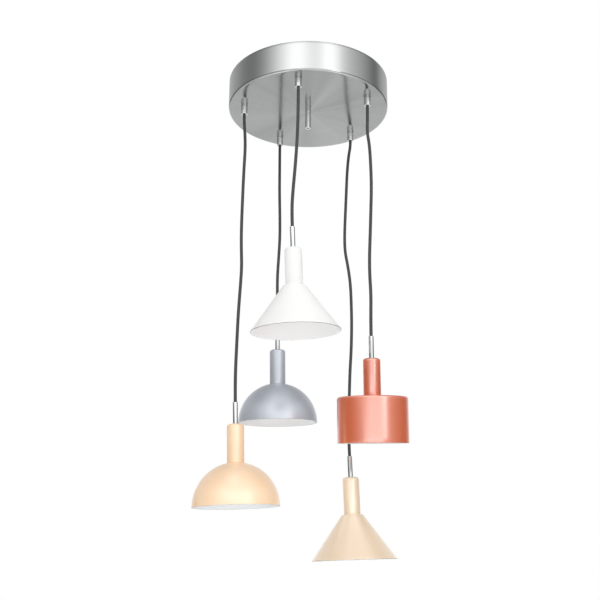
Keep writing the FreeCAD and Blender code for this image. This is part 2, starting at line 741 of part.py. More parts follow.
def lampholder(color, index):
    """The lampholder: a threaded entry on top, a wiring chamber, and the socket for the bulb."""
    top, foot = holder_top(), holder_foot()
    entry, socket = s.grip_thread_radius + s.thread_gap, s.cap_radius + s.running_gap
    entry_end = top + s.grip_thread_length
    skirt_top = foot - s.holder_skirt_height
    chamber_end = socket_floor() - s.holder_floor
    body = turned(f"lampholder_{color}", (
        (entry, top), (s.holder_shoulder_radius, top),
        (s.holder_radius, top + s.holder_shoulder_height), (s.holder_radius, skirt_top),
        (s.holder_skirt_radius, skirt_top), (s.holder_skirt_radius, foot), (socket, foot),
        (socket, socket_floor()), (ZERO, socket_floor()), (ZERO, chamber_end),
        (s.holder_chamber_radius, chamber_end), (s.holder_chamber_radius, entry_end),
        (entry, entry_end),
    ))
    return in_pendant(body, color, index)


def shade_ring(color, index):
    """The ring that screws up the lampholder's skirt and clamps the shade, notched for fingers."""
    label = f"shade_ring_{color}"
    top = shade_top() + s.shade_wall
    foot, bore = top + s.ring_height, s.holder_skirt_radius + s.thread_gap
    body = turned(label, (
        (bore, top), (s.ring_lip_radius, top), (s.ring_radius, top + s.ring_slope),
        (s.ring_radius, foot), (bore, foot),
    ))
    sketch = new_sketch(body, f"{label}_notch", "XY_Plane", foot)
    circle(sketch, s.ring_radius, ZERO, s.ring_flute_radius)
    notch = pocket(body, sketch, f"{label}_flute", s.ring_height - s.ring_slope)
    repeated(body, [notch], f"{label}_flutes", s.ring_flutes)
    return in_pendant(body, color, index)


def bulb_cap(color, index):
    """The bulb's screw cap with its contact tip."""
    tip = socket_floor() + s.running_gap
    insulator = tip + s.cap_tip_height
    shell = insulator + s.cap_insulator_height
    foot = tip + s.cap_length
    body = turned(f"bulb_cap_{color}", (
        (ZERO, tip), (s.cap_tip_radius, tip), (s.cap_tip_radius, insulator),
        (s.cap_radius, shell), (s.cap_radius, foot), (ZERO, foot),
    ))
    return in_pendant(body, color, index)


def globe_throat(radius):
    """Where the bulb's neck meets its globe: its radius, and its height above the centre."""
    rise = radius * s.neck_share
    return root(radius * radius - rise * rise), rise


def bulb_globe(color, index):
    """The bulb's hollow round glass, on a short neck that the cap closes."""
    neck, end = holder_foot(), holder_foot() + s.globe_length
    centre, neck_end = end - s.globe_radius, neck + s.neck_height
    inner, neck_bore = s.globe_radius - s.globe_wall, s.cap_radius - s.globe_wall
    throat, rise = globe_throat(s.globe_radius)
    inner_throat, inner_rise = globe_throat(inner)
    body = turned(f"bulb_globe_{color}", (
        (neck_bore, neck), (s.cap_radius, neck), (s.cap_radius, neck_end),
        (throat, centre - rise, s.globe_radius, 1), (ZERO, end),
        (ZERO, end - s.globe_wall, inner, -1), (inner_throat, centre - inner_rise),
        (neck_bore, neck_end),
    ))
    return in_pendant(body, color, index)


def tube(points, radius, name):
    """A round tube along straight runs joined by tangent arcs. Prints its arcs' radii."""
    edges, radii, start = [], [], points[0]
    for before, corner, after in zip(points, points[1:], points[2:]):
        arriving, leaving = corner - before, after - corner
        half_turn = arriving.getAngle(leaving) / 2
        reach = s.arc_share.value * min(arriving.Length, leaving.Length)
        arc_radius = reach / math.tan(half_turn)
        arriving.normalize()
        leaving.normalize()
        enter, leave = corner - arriving * reach, corner + leaving * reach
        inward = (leaving - arriving).normalize()
        sag = arc_radius / math.cos(half_turn) - arc_radius
        edges.append(Part.LineSegment(start, enter).toShape())
        edges.append(Part.Arc(enter, corner + inward * sag, leave).toShape())
        radii.append(arc_radius)
        start = leave
    edges.append(Part.LineSegment(start, points[-1]).toShape())
    path = Part.Wire(edges)
    section = Part.Circle(points[0], points[1] - points[0], radius)
    solid = path.makePipeShell([Part.Wire([section.toShape()])], True, False)
    expected = math.pi * radius**2 * path.Length
    print(
        f"{name}: length {path.Length:.1f}, least radius {min(radii):.0f},"
        f" radii {[round(r) for r in radii]}, volume over section x length"
        f" {solid.Volume / expected:.5f}"
    )
    return solid


def vector(sizes):
    return FreeCAD.Vector(*(size.value for size in sizes))


def cord(color, index):
    """A hanging cord. Its round upper end turns in the gland, and its lower end is in the grip."""
    x, y = gland_place(index)
    exit_point = vector((x, y, -(s.canopy_depth + s.gland_length)))
    lean, axis = pendant_axis(color)
    down = FreeCAD.Rotation(vector(axis), HALF_TURN - lean.value).multVec(FreeCAD.Vector(0, 0, 1))
    grip_top = vector(pendant_top(color, index)) - exit_point
    route = [FreeCAD.Vector(0, 0, 0)]
    route += [FreeCAD.Vector(*point) for point in ROUTES[color]]
    route += [grip_top - down * s.cord_straight.value, grip_top + down * s.cord_insert.value]
    radius = s.cord_radius.value
    hanging = tube(route, radius, f"cord_{color}")
    ball = Part.makeSphere(
        radius, FreeCAD.Vector(0, 0, 0), FreeCAD.Vector(0, 0, 1), 0, FULL_TURN / 4, FULL_TURN
    )
    item = doc.addObject("Part::Feature", f"cord_{color}")
    item.Shape = hanging.fuse(ball).removeSplitter()
    item.Placement = FreeCAD.Placement(exit_point, FreeCAD.Rotation())
    return item


def cord_tails():
    """The fixed ends of the five cords: up through the glands and over to the terminal block."""
    ways = block_ways()
    entry_depth = s.bracket_thickness + s.block_height / 2
    exit_depth = s.canopy_depth + s.gland_length
    foot = exit_depth - s.cord_radius - s.running_gap
    solids = []
    for index, (color, _) in enumerate(SHADES):
        entry, middle = TAILS[color]
        side = 1 if entry == "outer" else -1
        way = ways[WAY_ORDER.index(color)]
        x, y = gland_place(index)
        face = s.block_offset + s.block_width / 2 * side
        route = [vector((x, y, -foot)), vector((x, y, -s.tail_depth))]
        route += [FreeCAD.Vector(*point) for point in middle]
        route.append(vector((face + s.tail_lead * side, way, -entry_depth)))
        route.append(vector((face, way, -entry_depth)))
        solids.append(tube(route, s.cord_radius.value, f"tail_{color}"))
    item = doc.addObject("Part::Feature", "cord_tails")
    item.Shape = Part.makeCompound(solids)
    item.Placement = FreeCAD.Placement()
    return item


parts = [
    ceiling_bracket(), earth_tag(), earth_screw(), hanger_rod(), rod_nut(), canopy_cover(),
    centre_post(), terminal_block(), terminal_screws(), gland_nuts(), gland_screws(), cord_tails(),
]
for index, (color, kind) in enumerate(SHADES):
    parts += [
        gland(color, index), cord(color, index), cord_grip(color, index), stem_cup(color, index),
        shade(color, kind, index), lampholder(color, index), shade_ring(color, index),
        bulb_cap(color, index), bulb_globe(color, index),
    ]
doc.recompute()

for item in doc.Objects:
    if "Invalid" in item.State or "Error" in item.State:
        raise RuntimeError(f"{item.Label} is {item.State}")
    if item.TypeId == "Sketcher::SketchObject" and not item.FullyConstrained:
        raise RuntimeError(f"{item.Label} is loose")

os.makedirs("parts", exist_ok=True)
for item in parts:
    if item.Shape.isNull() or not item.Shape.isValid():
        raise RuntimeError(f"{item.Label} has no valid shape")
    item.Shape.exportStep(f"parts/{item.Label}.step")
    print(f"{item.Label}: {len(item.Shape.Solids)} solids, {item.Shape.Volume:.0f} mm3")
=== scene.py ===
# %% [markdown]
# A cluster ceiling light. A round pan of brushed stainless steel hangs under the ceiling, and
# five painted shades hang from it on braided cords, each at its own height. The hidden and
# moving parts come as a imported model, the frame, in metres, with the ceiling at z = 0 and
# everything below it. This lesson dresses that frame: it makes smooth turned surfaces for what
# shows, gives every surface a finish, and sets up the studio.

# %% Load the frame
from math import cos, pi, radians, sin, sqrt, tan

import bmesh
import bpy
import numpy as np
from mathutils import Matrix, Vector


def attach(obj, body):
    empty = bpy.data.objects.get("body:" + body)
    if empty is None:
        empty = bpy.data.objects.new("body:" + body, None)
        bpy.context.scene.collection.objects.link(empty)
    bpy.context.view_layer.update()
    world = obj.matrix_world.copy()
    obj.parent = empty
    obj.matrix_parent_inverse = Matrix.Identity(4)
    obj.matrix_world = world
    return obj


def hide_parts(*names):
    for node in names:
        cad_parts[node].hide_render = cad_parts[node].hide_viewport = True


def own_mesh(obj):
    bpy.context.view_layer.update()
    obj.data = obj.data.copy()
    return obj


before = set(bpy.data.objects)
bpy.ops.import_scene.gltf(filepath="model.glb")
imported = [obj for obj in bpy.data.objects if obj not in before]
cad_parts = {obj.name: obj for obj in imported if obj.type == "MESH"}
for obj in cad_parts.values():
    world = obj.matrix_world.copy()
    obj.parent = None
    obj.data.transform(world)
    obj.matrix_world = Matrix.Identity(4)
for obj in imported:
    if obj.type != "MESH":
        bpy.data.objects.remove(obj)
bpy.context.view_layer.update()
MM = 0.001

# %% [markdown]
# The camera looks up at the light from below the canopy. Its place was found by matching the
# canopy's two ellipses and the ring of glands in the photograph with a pinhole camera. The
# whole view is turned a little round the light, because the first gland, which lies on the -Y
# side, isn't straight in front of the camera.

# %% The camera
VIEW_TURN = radians(8.19)
CAMERA_DISTANCE = 1.690
CAMERA_DEPTH = 0.990
CAMERA_YAW = radians(-0.51)
CAMERA_PITCH = radians(16.204)
CAMERA_ROLL = radians(0.385)
LENS_MM = 51.0
SENSOR_MM = 36.0


def add_camera():
    """Places the camera in front of the light and builds its three axes.
    forward = (sin yaw cos pitch, cos yaw cos pitch, sin pitch), then turned with the view."""
    turn = Matrix.Rotation(VIEW_TURN, 3, "Z")
    flat = Vector((sin(CAMERA_YAW), cos(CAMERA_YAW), 0.0))
    forward = turn @ (flat * cos(CAMERA_PITCH) + Vector((0.0, 0.0, sin(CAMERA_PITCH))))
    level = turn @ Vector((cos(CAMERA_YAW), -sin(CAMERA_YAW), 0.0))
    above = level.cross(forward)
    right = level * cos(CAMERA_ROLL) + above * sin(CAMERA_ROLL)
    up = above * cos(CAMERA_ROLL) - level * sin(CAMERA_ROLL)
    axes = Matrix((right, up, -forward)).transposed().to_4x4()
    place = turn @ Vector((0.0, -CAMERA_DISTANCE, -CAMERA_DEPTH))
    data = bpy.data.cameras.new("camera")
    data.lens = LENS_MM
    data.sensor_width = SENSOR_MM
    camera = bpy.data.objects.new("camera", data)
    camera.matrix_world = Matrix.Translation(place) @ axes
    bpy.context.scene.collection.objects.link(camera)
    bpy.context.scene.camera = camera
    return camera


camera = add_camera()
print("camera at", [round(c, 3) for c in camera.location])

# %% [markdown]
# A colour on a paint card is an sRGB value, and a shader works with linear light, so one
# function converts. One more function adds a node: its settings are the node's own
# properties, and its inputs are filled by name or number, each with a value or with an output
# socket of an earlier node. Numbers serve where several inputs share a name: a Mix node's two
# colours are its inputs 6 and 7, and the mixed colour is its output 2.

# %% Colour and node helpers
def linear(hex_color):
    """sRGB hex to linear: c / 12.92 below 0.04045, else ((c + 0.055) / 1.055) ^ 2.4."""
    parts = [int(hex_color[i:i + 2], 16) / 255 for i in (1, 3, 5)]
    light = [c / 12.92 if c <= 0.04045 else ((c + 0.055) / 1.055) ** 2.4 for c in parts]
    return (*light, 1.0)


def add_node(tree, kind, sockets=(), **settings):
    """Adds a node. sockets maps an input's name or number to a value or to an output socket."""
    node = tree.nodes.new(kind)
    for name, value in settings.items():
        setattr(node, name, value)
    for name, value in dict(sockets).items():
        if isinstance(value, bpy.types.NodeSocket):
            tree.links.new(value, node.inputs[name])
        else:
            node.inputs[name].default_value = value
    return node


def new_material(name):
    """An empty node material. Returns it with its tree."""
    material = bpy.data.materials.new(name)
    material.use_nodes = True
    material.node_tree.nodes.clear()
    return material, material.node_tree


def finish_material(tree, sockets, normal):
    """Ends a material with the main shader and the output."""
    shader = add_node(tree, "ShaderNodeBsdfPrincipled", {**sockets, "Normal": normal})
    add_node(tree, "ShaderNodeOutputMaterial", {"Surface": shader.outputs[0]})


print("the paint card's #808080 is", round(linear("#808080")[0], 3), "in linear light")

# %% [markdown]
# Stainless steel is spun against an abrasive pad, so its scratches run round the axis: rings
# on the plate and hoops on the wall. Each scratch mirrors well along itself and badly across,
# which draws the light into soft streaks across the scratches. The pattern is noise that
# changes quickly with the radius and the height, and slowly with the angle. Real scratches
# are about 0.05 mm apart. They are drawn 0.9 mm apart, because finer ones would not show.
# The broad rays of light that such a plate mirrors are painted into its tone: noise that
# reads nothing but the angle makes some sectors a little brighter and others darker. This
# is a painted reflection, and it stays put on the plate.

# %% Brushed steel
SCRATCH_SPACING = 0.9 * MM
PLATE_BEGINS, PLATE_FULL = -62 * MM, -65.5 * MM
RAY_SCALE, PAINTED_RAY_DARK, PAINTED_RAY_BRIGHT = 1.6, 0.86, 1.1


def brushed_steel():
    """Noise at (radius / spacing, height / spacing, angle) drives tone, roughness and bump. On
    the plate, the tone is also multiplied by painted rays of reflected light, which are noise
    at (x, y) / radius."""
    material, tree = new_material("spun_stainless_steel")
    place = add_node(tree, "ShaderNodeTexCoord").outputs["Object"]
    axes = add_node(tree, "ShaderNodeSeparateXYZ", {0: place}).outputs
    flat = add_node(tree, "ShaderNodeCombineXYZ", {0: axes[0], 1: axes[1]}).outputs[0]
    radius = add_node(tree, "ShaderNodeVectorMath", {0: flat}, operation="LENGTH").outputs["Value"]
    across = add_node(
        tree, "ShaderNodeMath", {0: radius, 1: 1 / SCRATCH_SPACING}, operation="MULTIPLY"
    ).outputs[0]
    along = add_node(
        tree, "ShaderNodeMath", {0: axes[2], 1: 1 / SCRATCH_SPACING}, operation="MULTIPLY"
    ).outputs[0]
    angle = add_node(
        tree, "ShaderNodeMath", {0: axes[1], 1: axes[0]}, operation="ARCTAN2"
    ).outputs[0]
    round_place = add_node(tree, "ShaderNodeCombineXYZ", {0: across, 1: along, 2: angle}).outputs[0]
    grain = add_node(
        tree, "ShaderNodeTexNoise", {"Vector": round_place, "Scale": 1.0, "Detail": 3.0}
    ).outputs[0]
    scratched = add_node(
        tree, "ShaderNodeMix", {0: grain, 6: linear("#a9abab"), 7: linear("#bbbdbc")},
        data_type="RGBA",
    ).outputs[2]
    # Painted reflection: the plate's tone is made brighter and darker in broad rays that follow the
    # angle.
    way = add_node(tree, "ShaderNodeVectorMath", {0: flat}, operation="NORMALIZE").outputs[0]
    rays = add_node(
        tree, "ShaderNodeTexNoise", {"Vector": way, "W": 5.0, "Scale": RAY_SCALE, "Detail": 2.0},
        noise_dimensions="4D",
    ).outputs[0]
    painted_ray_tone = add_node(tree, "ShaderNodeMapRange", {
        "Value": rays, "From Min": 0.35, "From Max": 0.65, "To Min": PAINTED_RAY_DARK, "To Max": PAINTED_RAY_BRIGHT,
    }).outputs[0]
    plate = add_node(tree, "ShaderNodeMapRange", {
        "Value": axes[2], "From Min": PLATE_BEGINS, "From Max": PLATE_FULL,
    }).outputs[0]
    tone = add_node(
        tree, "ShaderNodeMix", {0: plate, 6: scratched, 7: painted_ray_tone},
        data_type="RGBA", blend_type="MULTIPLY",
    ).outputs[2]
    rough = add_node(
        tree, "ShaderNodeMapRange", {"Value": grain, "To Min": 0.03, "To Max": 0.21}
    ).outputs[0]
    bump = add_node(
        tree, "ShaderNodeBump", {"Height": grain, "Strength": 0.12, "Distance": 0.02 * MM}
    ).outputs[0]
    tangent = add_node(tree, "ShaderNodeTangent", direction_type="RADIAL", axis="Z").outputs[0]
    finish_material(tree, {
        "Base Color": tone, "Metallic": 1.0, "Roughness": rough,
        "Anisotropic": 0.9, "Anisotropic Rotation": 0.25, "Tangent": tangent,
    }, bump)
    return material


steel = brushed_steel()
print(steel.name, "has", len(steel.node_tree.nodes), "nodes")

# %% [markdown]
# The grips and screws are turned on a lathe, polished and chromed. The plating keeps the faint
# hoops of the turning, so these pieces mirror sharply round their axis and softly along it.
# The glands and the post are polished less, which leaves them satin. Nickel and zinc are duller
# and a little blotched, and so is the bare aluminium where a shade's rim was trimmed. That edge
# is also made dark, as painted shade, so that it shows as a thin dark line. All are metals, with
# the default index of refraction.

# %% Plated and bare metals
def plated_metal(name, dark, light, low_rough, high_rough, blotch, hoops=0.0):
    """Noise with blotches of the given size sets the tone and the roughness. hoops is how much
    softer it mirrors along the turning axis than round it."""
    material, tree = new_material(name)
    place = add_node(tree, "ShaderNodeTexCoord").outputs["Object"]
    noise = add_node(
        tree, "ShaderNodeTexNoise", {"Vector": place, "Scale": 1 / blotch, "Detail": 2.0}
    ).outputs[0]
    tone = add_node(
        tree, "ShaderNodeMix", {0: noise, 6: linear(dark), 7: linear(light)}, data_type="RGBA"
    ).outputs[2]
    rough = add_node(
        tree, "ShaderNodeMapRange", {"Value": noise, "To Min": low_rough, "To Max": high_rough}
    ).outputs[0]
    bump = add_node(
        tree, "ShaderNodeBump", {"Height": noise, "Strength": 0.1, "Distance": 0.02 * MM}
    ).outputs[0]
    sockets = {"Base Color": tone, "Metallic": 1.0, "Roughness": rough}
    if hoops:
        tangent = add_node(tree, "ShaderNodeTangent", direction_type="RADIAL", axis="Z").outputs[0]
        sockets["Tangent"] = tangent
        sockets["Anisotropic"] = hoops
        sockets["Anisotropic Rotation"] = 0.25
    finish_material(tree, sockets, bump)
    return material


chrome = plated_metal("polished_chrome", "#c2c5c6", "#d2d4d4", 0.06, 0.1, 3 * MM, 0.3)
satin_chrome = plated_metal("satin_chrome", "#d8dbdb", "#e1e3e3", 0.3, 0.34, 12 * MM, 0.85)
nickel = plated_metal("nickel_plating", "#b5b1a6", "#cbc8be", 0.2, 0.3, 2 * MM)
zinc = plated_metal("zinc_plating", "#a9adb1", "#c6c9cc", 0.3, 0.45, 6 * MM)
# The rim's edge: bare aluminium, with its dark tone painted shade.
shaded_rim_metal = plated_metal("bare_edge_painted_shade", "#6f6d6a", "#84827e", 0.35, 0.5, 2 * MM)
print("metals:", *(metal.name for metal in (chrome, satin_chrome, nickel, zinc, shaded_rim_metal)))

# %% [markdown]
# The shades are spun aluminium, sprayed and baked. Spraying leaves a very fine orange peel,
# a shallow waviness about 2 mm across that softens the highlights, and the layer is thinner
# and a touch lighter here and there. A clear coat gives the broad satin highlight. A lacquer's
# index is about 1.5, and where the photograph's highlight is stronger, the coat's index is
# higher. Only the white is a matter enamel without such a coat. The silver grey has aluminium
# flakes in it, so it is half metallic.

# %% Sprayed paint
CLOUD_WIDTH, PEEL_WIDTH = 40 * MM, 2 * MM


def sprayed_paint(
    name, color, shade, rough, coat, metallic=0.0, coat_ior=1.5, coat_rough=0.3, ior=1.5
):
    """Two noises: clouds 40 mm wide for the tone, and peel 2 mm wide for bump and roughness."""
    material, tree = new_material(name)
    place = add_node(tree, "ShaderNodeTexCoord").outputs["Object"]
    clouds = add_node(
        tree, "ShaderNodeTexNoise", {"Vector": place, "Scale": 1 / CLOUD_WIDTH, "Detail": 2.0}
    ).outputs[0]
    tone = add_node(
        tree, "ShaderNodeMix", {0: clouds, 6: linear(shade), 7: linear(color)}, data_type="RGBA"
    ).outputs[2]
    waves = add_node(
        tree, "ShaderNodeTexNoise", {"Vector": place, "Scale": 1 / PEEL_WIDTH, "Detail": 1.0}
    ).outputs[0]
    bump = add_node(
        tree, "ShaderNodeBump", {"Height": waves, "Strength": 0.15, "Distance": 0.03 * MM}
    ).outputs[0]
    roughness = add_node(
        tree, "ShaderNodeMapRange", {"Value": waves, "To Min": rough - 0.03, "To Max": rough + 0.03}
    ).outputs[0]
    finish_material(tree, {
        "Base Color": tone, "Roughness": roughness, "Metallic": metallic, "IOR": ior,
        "Coat Weight": coat, "Coat Roughness": coat_rough, "Coat IOR": coat_ior,
    }, bump)
    return material


print("the paint's clouds and peel are", CLOUD_WIDTH, "and", PEEL_WIDTH, "m wide")

# %% The five paints and the white inside
COLORS = ("white", "peach", "grey", "sand", "copper")
inside_paint = sprayed_paint("white_inside_paint", "#f2f4f5", "#eef0f1", 0.5, 0.1)
paints = {
    "white": sprayed_paint("white_enamel", "#f1f1ef", "#efefed", 0.55, 0.0, ior=1.25),
    "peach": sprayed_paint("apricot_enamel", "#fddbb6", "#fad6af", 0.42, 1.0, coat_ior=2.0),
    "grey": sprayed_paint("silver_grey_enamel", "#c6ccd5", "#bec4cd", 0.42, 1.0, metallic=0.5),
    "sand": sprayed_paint("sand_enamel", "#fce2c2", "#f8ddbc", 0.34, 1.0, coat_ior=2.9),
    "copper": sprayed_paint(
        "terracotta_enamel", "#e06018", "#da5a15", 0.34, 1.0, metallic=0.1, coat_ior=3.2,
        coat_rough=0.25,
    ),
}
print("paints:", *(paint.name for paint in paints.values()))

# %% [markdown]
# The cords are round cables in a braided sleeve of dark grey polyester. Two sets of yarns
# cross at about 45 degrees, one over the other in turn, which gives small diamonds. The
# pattern reads the cord's own UV map, whose unit is the metre: u runs round the cord and v
# along it. Twelve yarns go round each way, 1.2 mm apart, as on the real sleeve.

# %% Braided textile
CORD_DIAMETER = 6.5 * MM
YARNS_ROUND, FUZZ_WIDTH = 12, 0.3 * MM


def braided_textile():
    """Two sine waves along u + v and u - v. Where one is higher, its yarn lies on top. The tone is
    darker where the yarns lie low, which is painted shade between them.
    """
    wave = 2 * YARNS_ROUND / CORD_DIAMETER
    material, tree = new_material("braided_polyester")
    uv = add_node(tree, "ShaderNodeUVMap", uv_map="cord_uv").outputs[0]
    axes = add_node(tree, "ShaderNodeSeparateXYZ", {0: uv}).outputs
    sides = []
    for operation in ("ADD", "SUBTRACT"):
        both = add_node(
            tree, "ShaderNodeMath", {0: axes[0], 1: axes[1]}, operation=operation
        ).outputs[0]
        turns = add_node(
            tree, "ShaderNodeMath", {0: both, 1: wave}, operation="MULTIPLY"
        ).outputs[0]
        sides.append(add_node(tree, "ShaderNodeMath", {0: turns}, operation="SINE").outputs[0])
    top = add_node(
        tree, "ShaderNodeMath", {0: sides[0], 1: sides[1]}, operation="MAXIMUM"
    ).outputs[0]
    height = add_node(
        tree, "ShaderNodeMapRange", {"Value": top, "From Min": -0.6, "From Max": 1.0}
    ).outputs[0]
    fuzz = add_node(
        tree, "ShaderNodeTexNoise", {"Vector": uv, "Scale": 1 / FUZZ_WIDTH, "Detail": 2.0}
    ).outputs[0]
    # Painted shade: the yarns are darker where they lie low, times random fuzz.
    lit = add_node(tree, "ShaderNodeMath", {0: height, 1: fuzz}, operation="MULTIPLY").outputs[0]
    tone = add_node(
        tree, "ShaderNodeMix", {0: lit, 6: linear("#222324"), 7: linear("#616365")},
        data_type="RGBA",
    ).outputs[2]
    bump = add_node(
        tree, "ShaderNodeBump", {"Height": height, "Strength": 0.5, "Distance": 0.15 * MM}
    ).outputs[0]
    finish_material(tree, {
        "Base Color": tone, "Roughness": 0.7, "Sheen Weight": 0.1, "Sheen Roughness": 0.4,
    }, bump)
    return material


textile = braided_textile()
yarn_spacing = pi * CORD_DIAMETER / YARNS_ROUND / sqrt(2)
print("the yarns of", textile.name, "lie", round(yarn_spacing / MM, 2), "mm apart")

# %% [markdown]
# The lampholders, their rings and the terminal block are moulded plastic, with the faint
# grain of an eroded mould. The bulb's glass is opal: a milky body under a glossy skin.

# %% Plastic and opal glass
def moulded_plastic(name, color, rough, grain_size, see_through=0.0):
    """Fine noise, as wide as the mould's grain, for bump and roughness."""
    material, tree = new_material(name)
    place = add_node(tree, "ShaderNodeTexCoord").outputs["Object"]
    grain = add_node(
        tree, "ShaderNodeTexNoise", {"Vector": place, "Scale": 1 / grain_size, "Detail": 2.0}
    ).outputs[0]
    roughness = add_node(
        tree, "ShaderNodeMapRange", {"Value": grain, "To Min": rough - 0.05, "To Max": rough + 0.05}
    ).outputs[0]
    bump = add_node(
        tree, "ShaderNodeBump", {"Height": grain, "Strength": 0.2, "Distance": 0.05 * MM}
    ).outputs[0]
    finish_material(tree, {
        "Base Color": linear(color), "Roughness": roughness, "Transmission Weight": see_through,
        "Coat Weight": 0.3, "Coat Roughness": 0.1,
    }, bump)
    return material


white_plastic = moulded_plastic("white_thermoplastic", "#efefed", 0.4, 0.5 * MM)
block_plastic = moulded_plastic("milky_polyamide", "#dfe2e2", 0.45, 0.5 * MM, 0.2)
opal = moulded_plastic("blown_opal_glass", "#f6f6f4", 0.15, 4 * MM, 0.1)
print("plastics and glass:", white_plastic.name, block_plastic.name, opal.name)

# %% [markdown]
# Nearly every visible piece of this light is turned, pressed or spun, so one surface makes
# them all: a half section, as a list of (radius, depth) points, carried round an axis. The
# axis starts at a base point and points down the piece, so that depths count downward. Where
# the half section touches the axis, its ring of points is merged into a single pole.

# %% A smooth mesh object
MERGE_DISTANCE = 1e-6
SHARP_EDGE = radians(35)


def add_piece(name, mesh, fill_ends=False):
    """Merges doubled points, closes open ends if asked, turns the faces outward, shades the
    mesh smooth except at edges sharper than 35 degrees, and adds it as an object."""
    work = bmesh.new()
    work.from_mesh(mesh)
    bmesh.ops.remove_doubles(work, verts=work.verts, dist=MERGE_DISTANCE)
    if fill_ends:
        bmesh.ops.holes_fill(work, edges=[e for e in work.edges if e.is_boundary], sides=0)
    bmesh.ops.recalc_face_normals(work, faces=work.faces)
    work.to_mesh(mesh)
    work.free()
    mesh.shade_smooth()
    mesh.set_sharp_from_angle(angle=SHARP_EDGE)
    piece = bpy.data.objects.new(name, mesh)
    bpy.context.scene.collection.objects.link(piece)
    return piece


def grid_faces(row, column, rows, columns):
    """Faces between neighbouring rows and columns of points, which wrap round at the last."""
    corners = [
        (row + r) % rows * columns + (column + c) % columns
        for r, c in ((0, 0), (1, 0), (1, 1), (0, 1))
    ]
    return np.stack(corners, -1).reshape(-1, 4)


print("edges sharper than", round(np.degrees(SHARP_EDGE)), "degrees stay sharp")

# %% A turned surface
def upright(base):
    """The frame of a piece that hangs straight down from base: base, two sides and down."""
    return np.array(base, float), np.eye(3)[0], -np.eye(3)[1], -np.eye(3)[2]


def turned(name, section, place, around, closed=False, ripple=None):
    """Point (i, j) = base + radius_i (cos a_j side + sin a_j other) + depth_i down, where
    a_j = 2 pi j / around. ripple(angle, radius) may change the radius."""
    base, side, other, down = place
    section = np.array(section, float)
    rows = len(section)
    angle = 2 * pi * np.arange(around) / around
    radius = np.repeat(section[:, :1], around, 1)
    depth = np.repeat(section[:, 1:], around, 1)
    if ripple is not None:
        radius = ripple(angle[None, :], radius)
    ring = np.cos(angle)[:, None] * side + np.sin(angle)[:, None] * other
    points = base + radius[..., None] * ring + depth[..., None] * down
    row = np.arange(rows if closed else rows - 1)[:, None]
    faces = grid_faces(row, np.arange(around)[None, :], rows, around)
    mesh = bpy.data.meshes.new(name)
    mesh.from_pydata(points.reshape(-1, 3).tolist(), [], faces.tolist())
    return add_piece(name, mesh)


def arc(centre, radius, start, end, count):
    """Points of a quarter or other arc: centre + radius (cos, sin), start to end in degrees."""
    angle = np.radians(np.linspace(start, end, count))
    return [tuple(centre + radius * np.array((cos(a), sin(a)))) for a in angle]


def join_sections(*pieces):
    """One long list of section points."""
    return [point for piece in pieces for point in piece]


print("a quarter round of 4 mm starts at", np.round(arc((0, 0), 4, 0, 90, 8)[0], 1))

# %% Finish and body of a piece
def dress(piece, material, body, slot, *nodes):
    """Gives a piece its material and its body, and hides the nodes that it stands for. The slot is
    not used.
    """
    piece.data.materials.append(material)
    if nodes:
        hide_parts(*nodes)
    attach(piece, body)
    return piece


def make_five(maker):
    """Makes a piece for each colour, and prints how many faces it has."""
    for color in COLORS:
        piece = maker(color)
        print(piece.name, len(piece.data.polygons), "faces")


# %% [markdown]
# The places of things follow from the frame: the glands stand on a circle, and each pendant
# hangs from its gland by an offset and leans a little. These are the sizes that the frame
# was made from, in metres.

# %% Sizes and places
CANOPY_RADIUS, CANOPY_DEPTH, CANOPY_WALL, CANOPY_EDGE = 0.175, 0.066, 0.0012, 0.004
GLAND_CIRCLE, GLAND_RADIUS, GLAND_LENGTH = 0.141, 0.0075, 0.019
LEAD_ANGLE, GLAND_STEP = -90.0, -72.0
# Side, back and drop of the grip's top from its gland in mm, lean and heading in degrees.
HANGS = {
    "white": (-8.5, -8.0, 308.5, 3.5, 57.0),
    "peach": (-2.5, 1.0, 631.5, 2.1, -8.0),
    "grey": (1.5, -5.5, 449.5, 2.3, 75.0),
    "sand": (-9.0, 2.0, 722.5, 2.5, -23.0),
    "copper": (0.5, -16.0, 509.5, 6.0, 92.0),
}


def gland_angle(color):
    """The glands stand 72 degrees apart, in the order of the colours."""
    return radians(LEAD_ANGLE + GLAND_STEP * COLORS.index(color))


def gland_exit(color):
    """The middle of the gland's lower face, where the cord comes out."""
    turn = gland_angle(color)
    reach = np.array((cos(turn), sin(turn), 0.0)) * GLAND_CIRCLE
    return reach + np.array((0.0, 0.0, -CANOPY_DEPTH - GLAND_LENGTH))


def pendant_place(color):
    """The pendant's frame: the grip's top, two sides, and down. With the lean l and the heading
    h, down = (sin l cos h, sin l sin h, -cos l)."""
    side, back, drop, lean, heading = HANGS[color]
    lean, heading = radians(lean), radians(heading)
    base = gland_exit(color) + np.array((side, back, -drop)) * MM
    down = np.array((sin(lean) * cos(heading), sin(lean) * sin(heading), -cos(lean)))
    other = np.cross(down, (1.0, 0.0, 0.0))
    other /= np.linalg.norm(other)
    return base, np.cross(other, down), other, down


for color in COLORS:
    print(color, "grip top at", np.round(pendant_place(color)[0], 3))
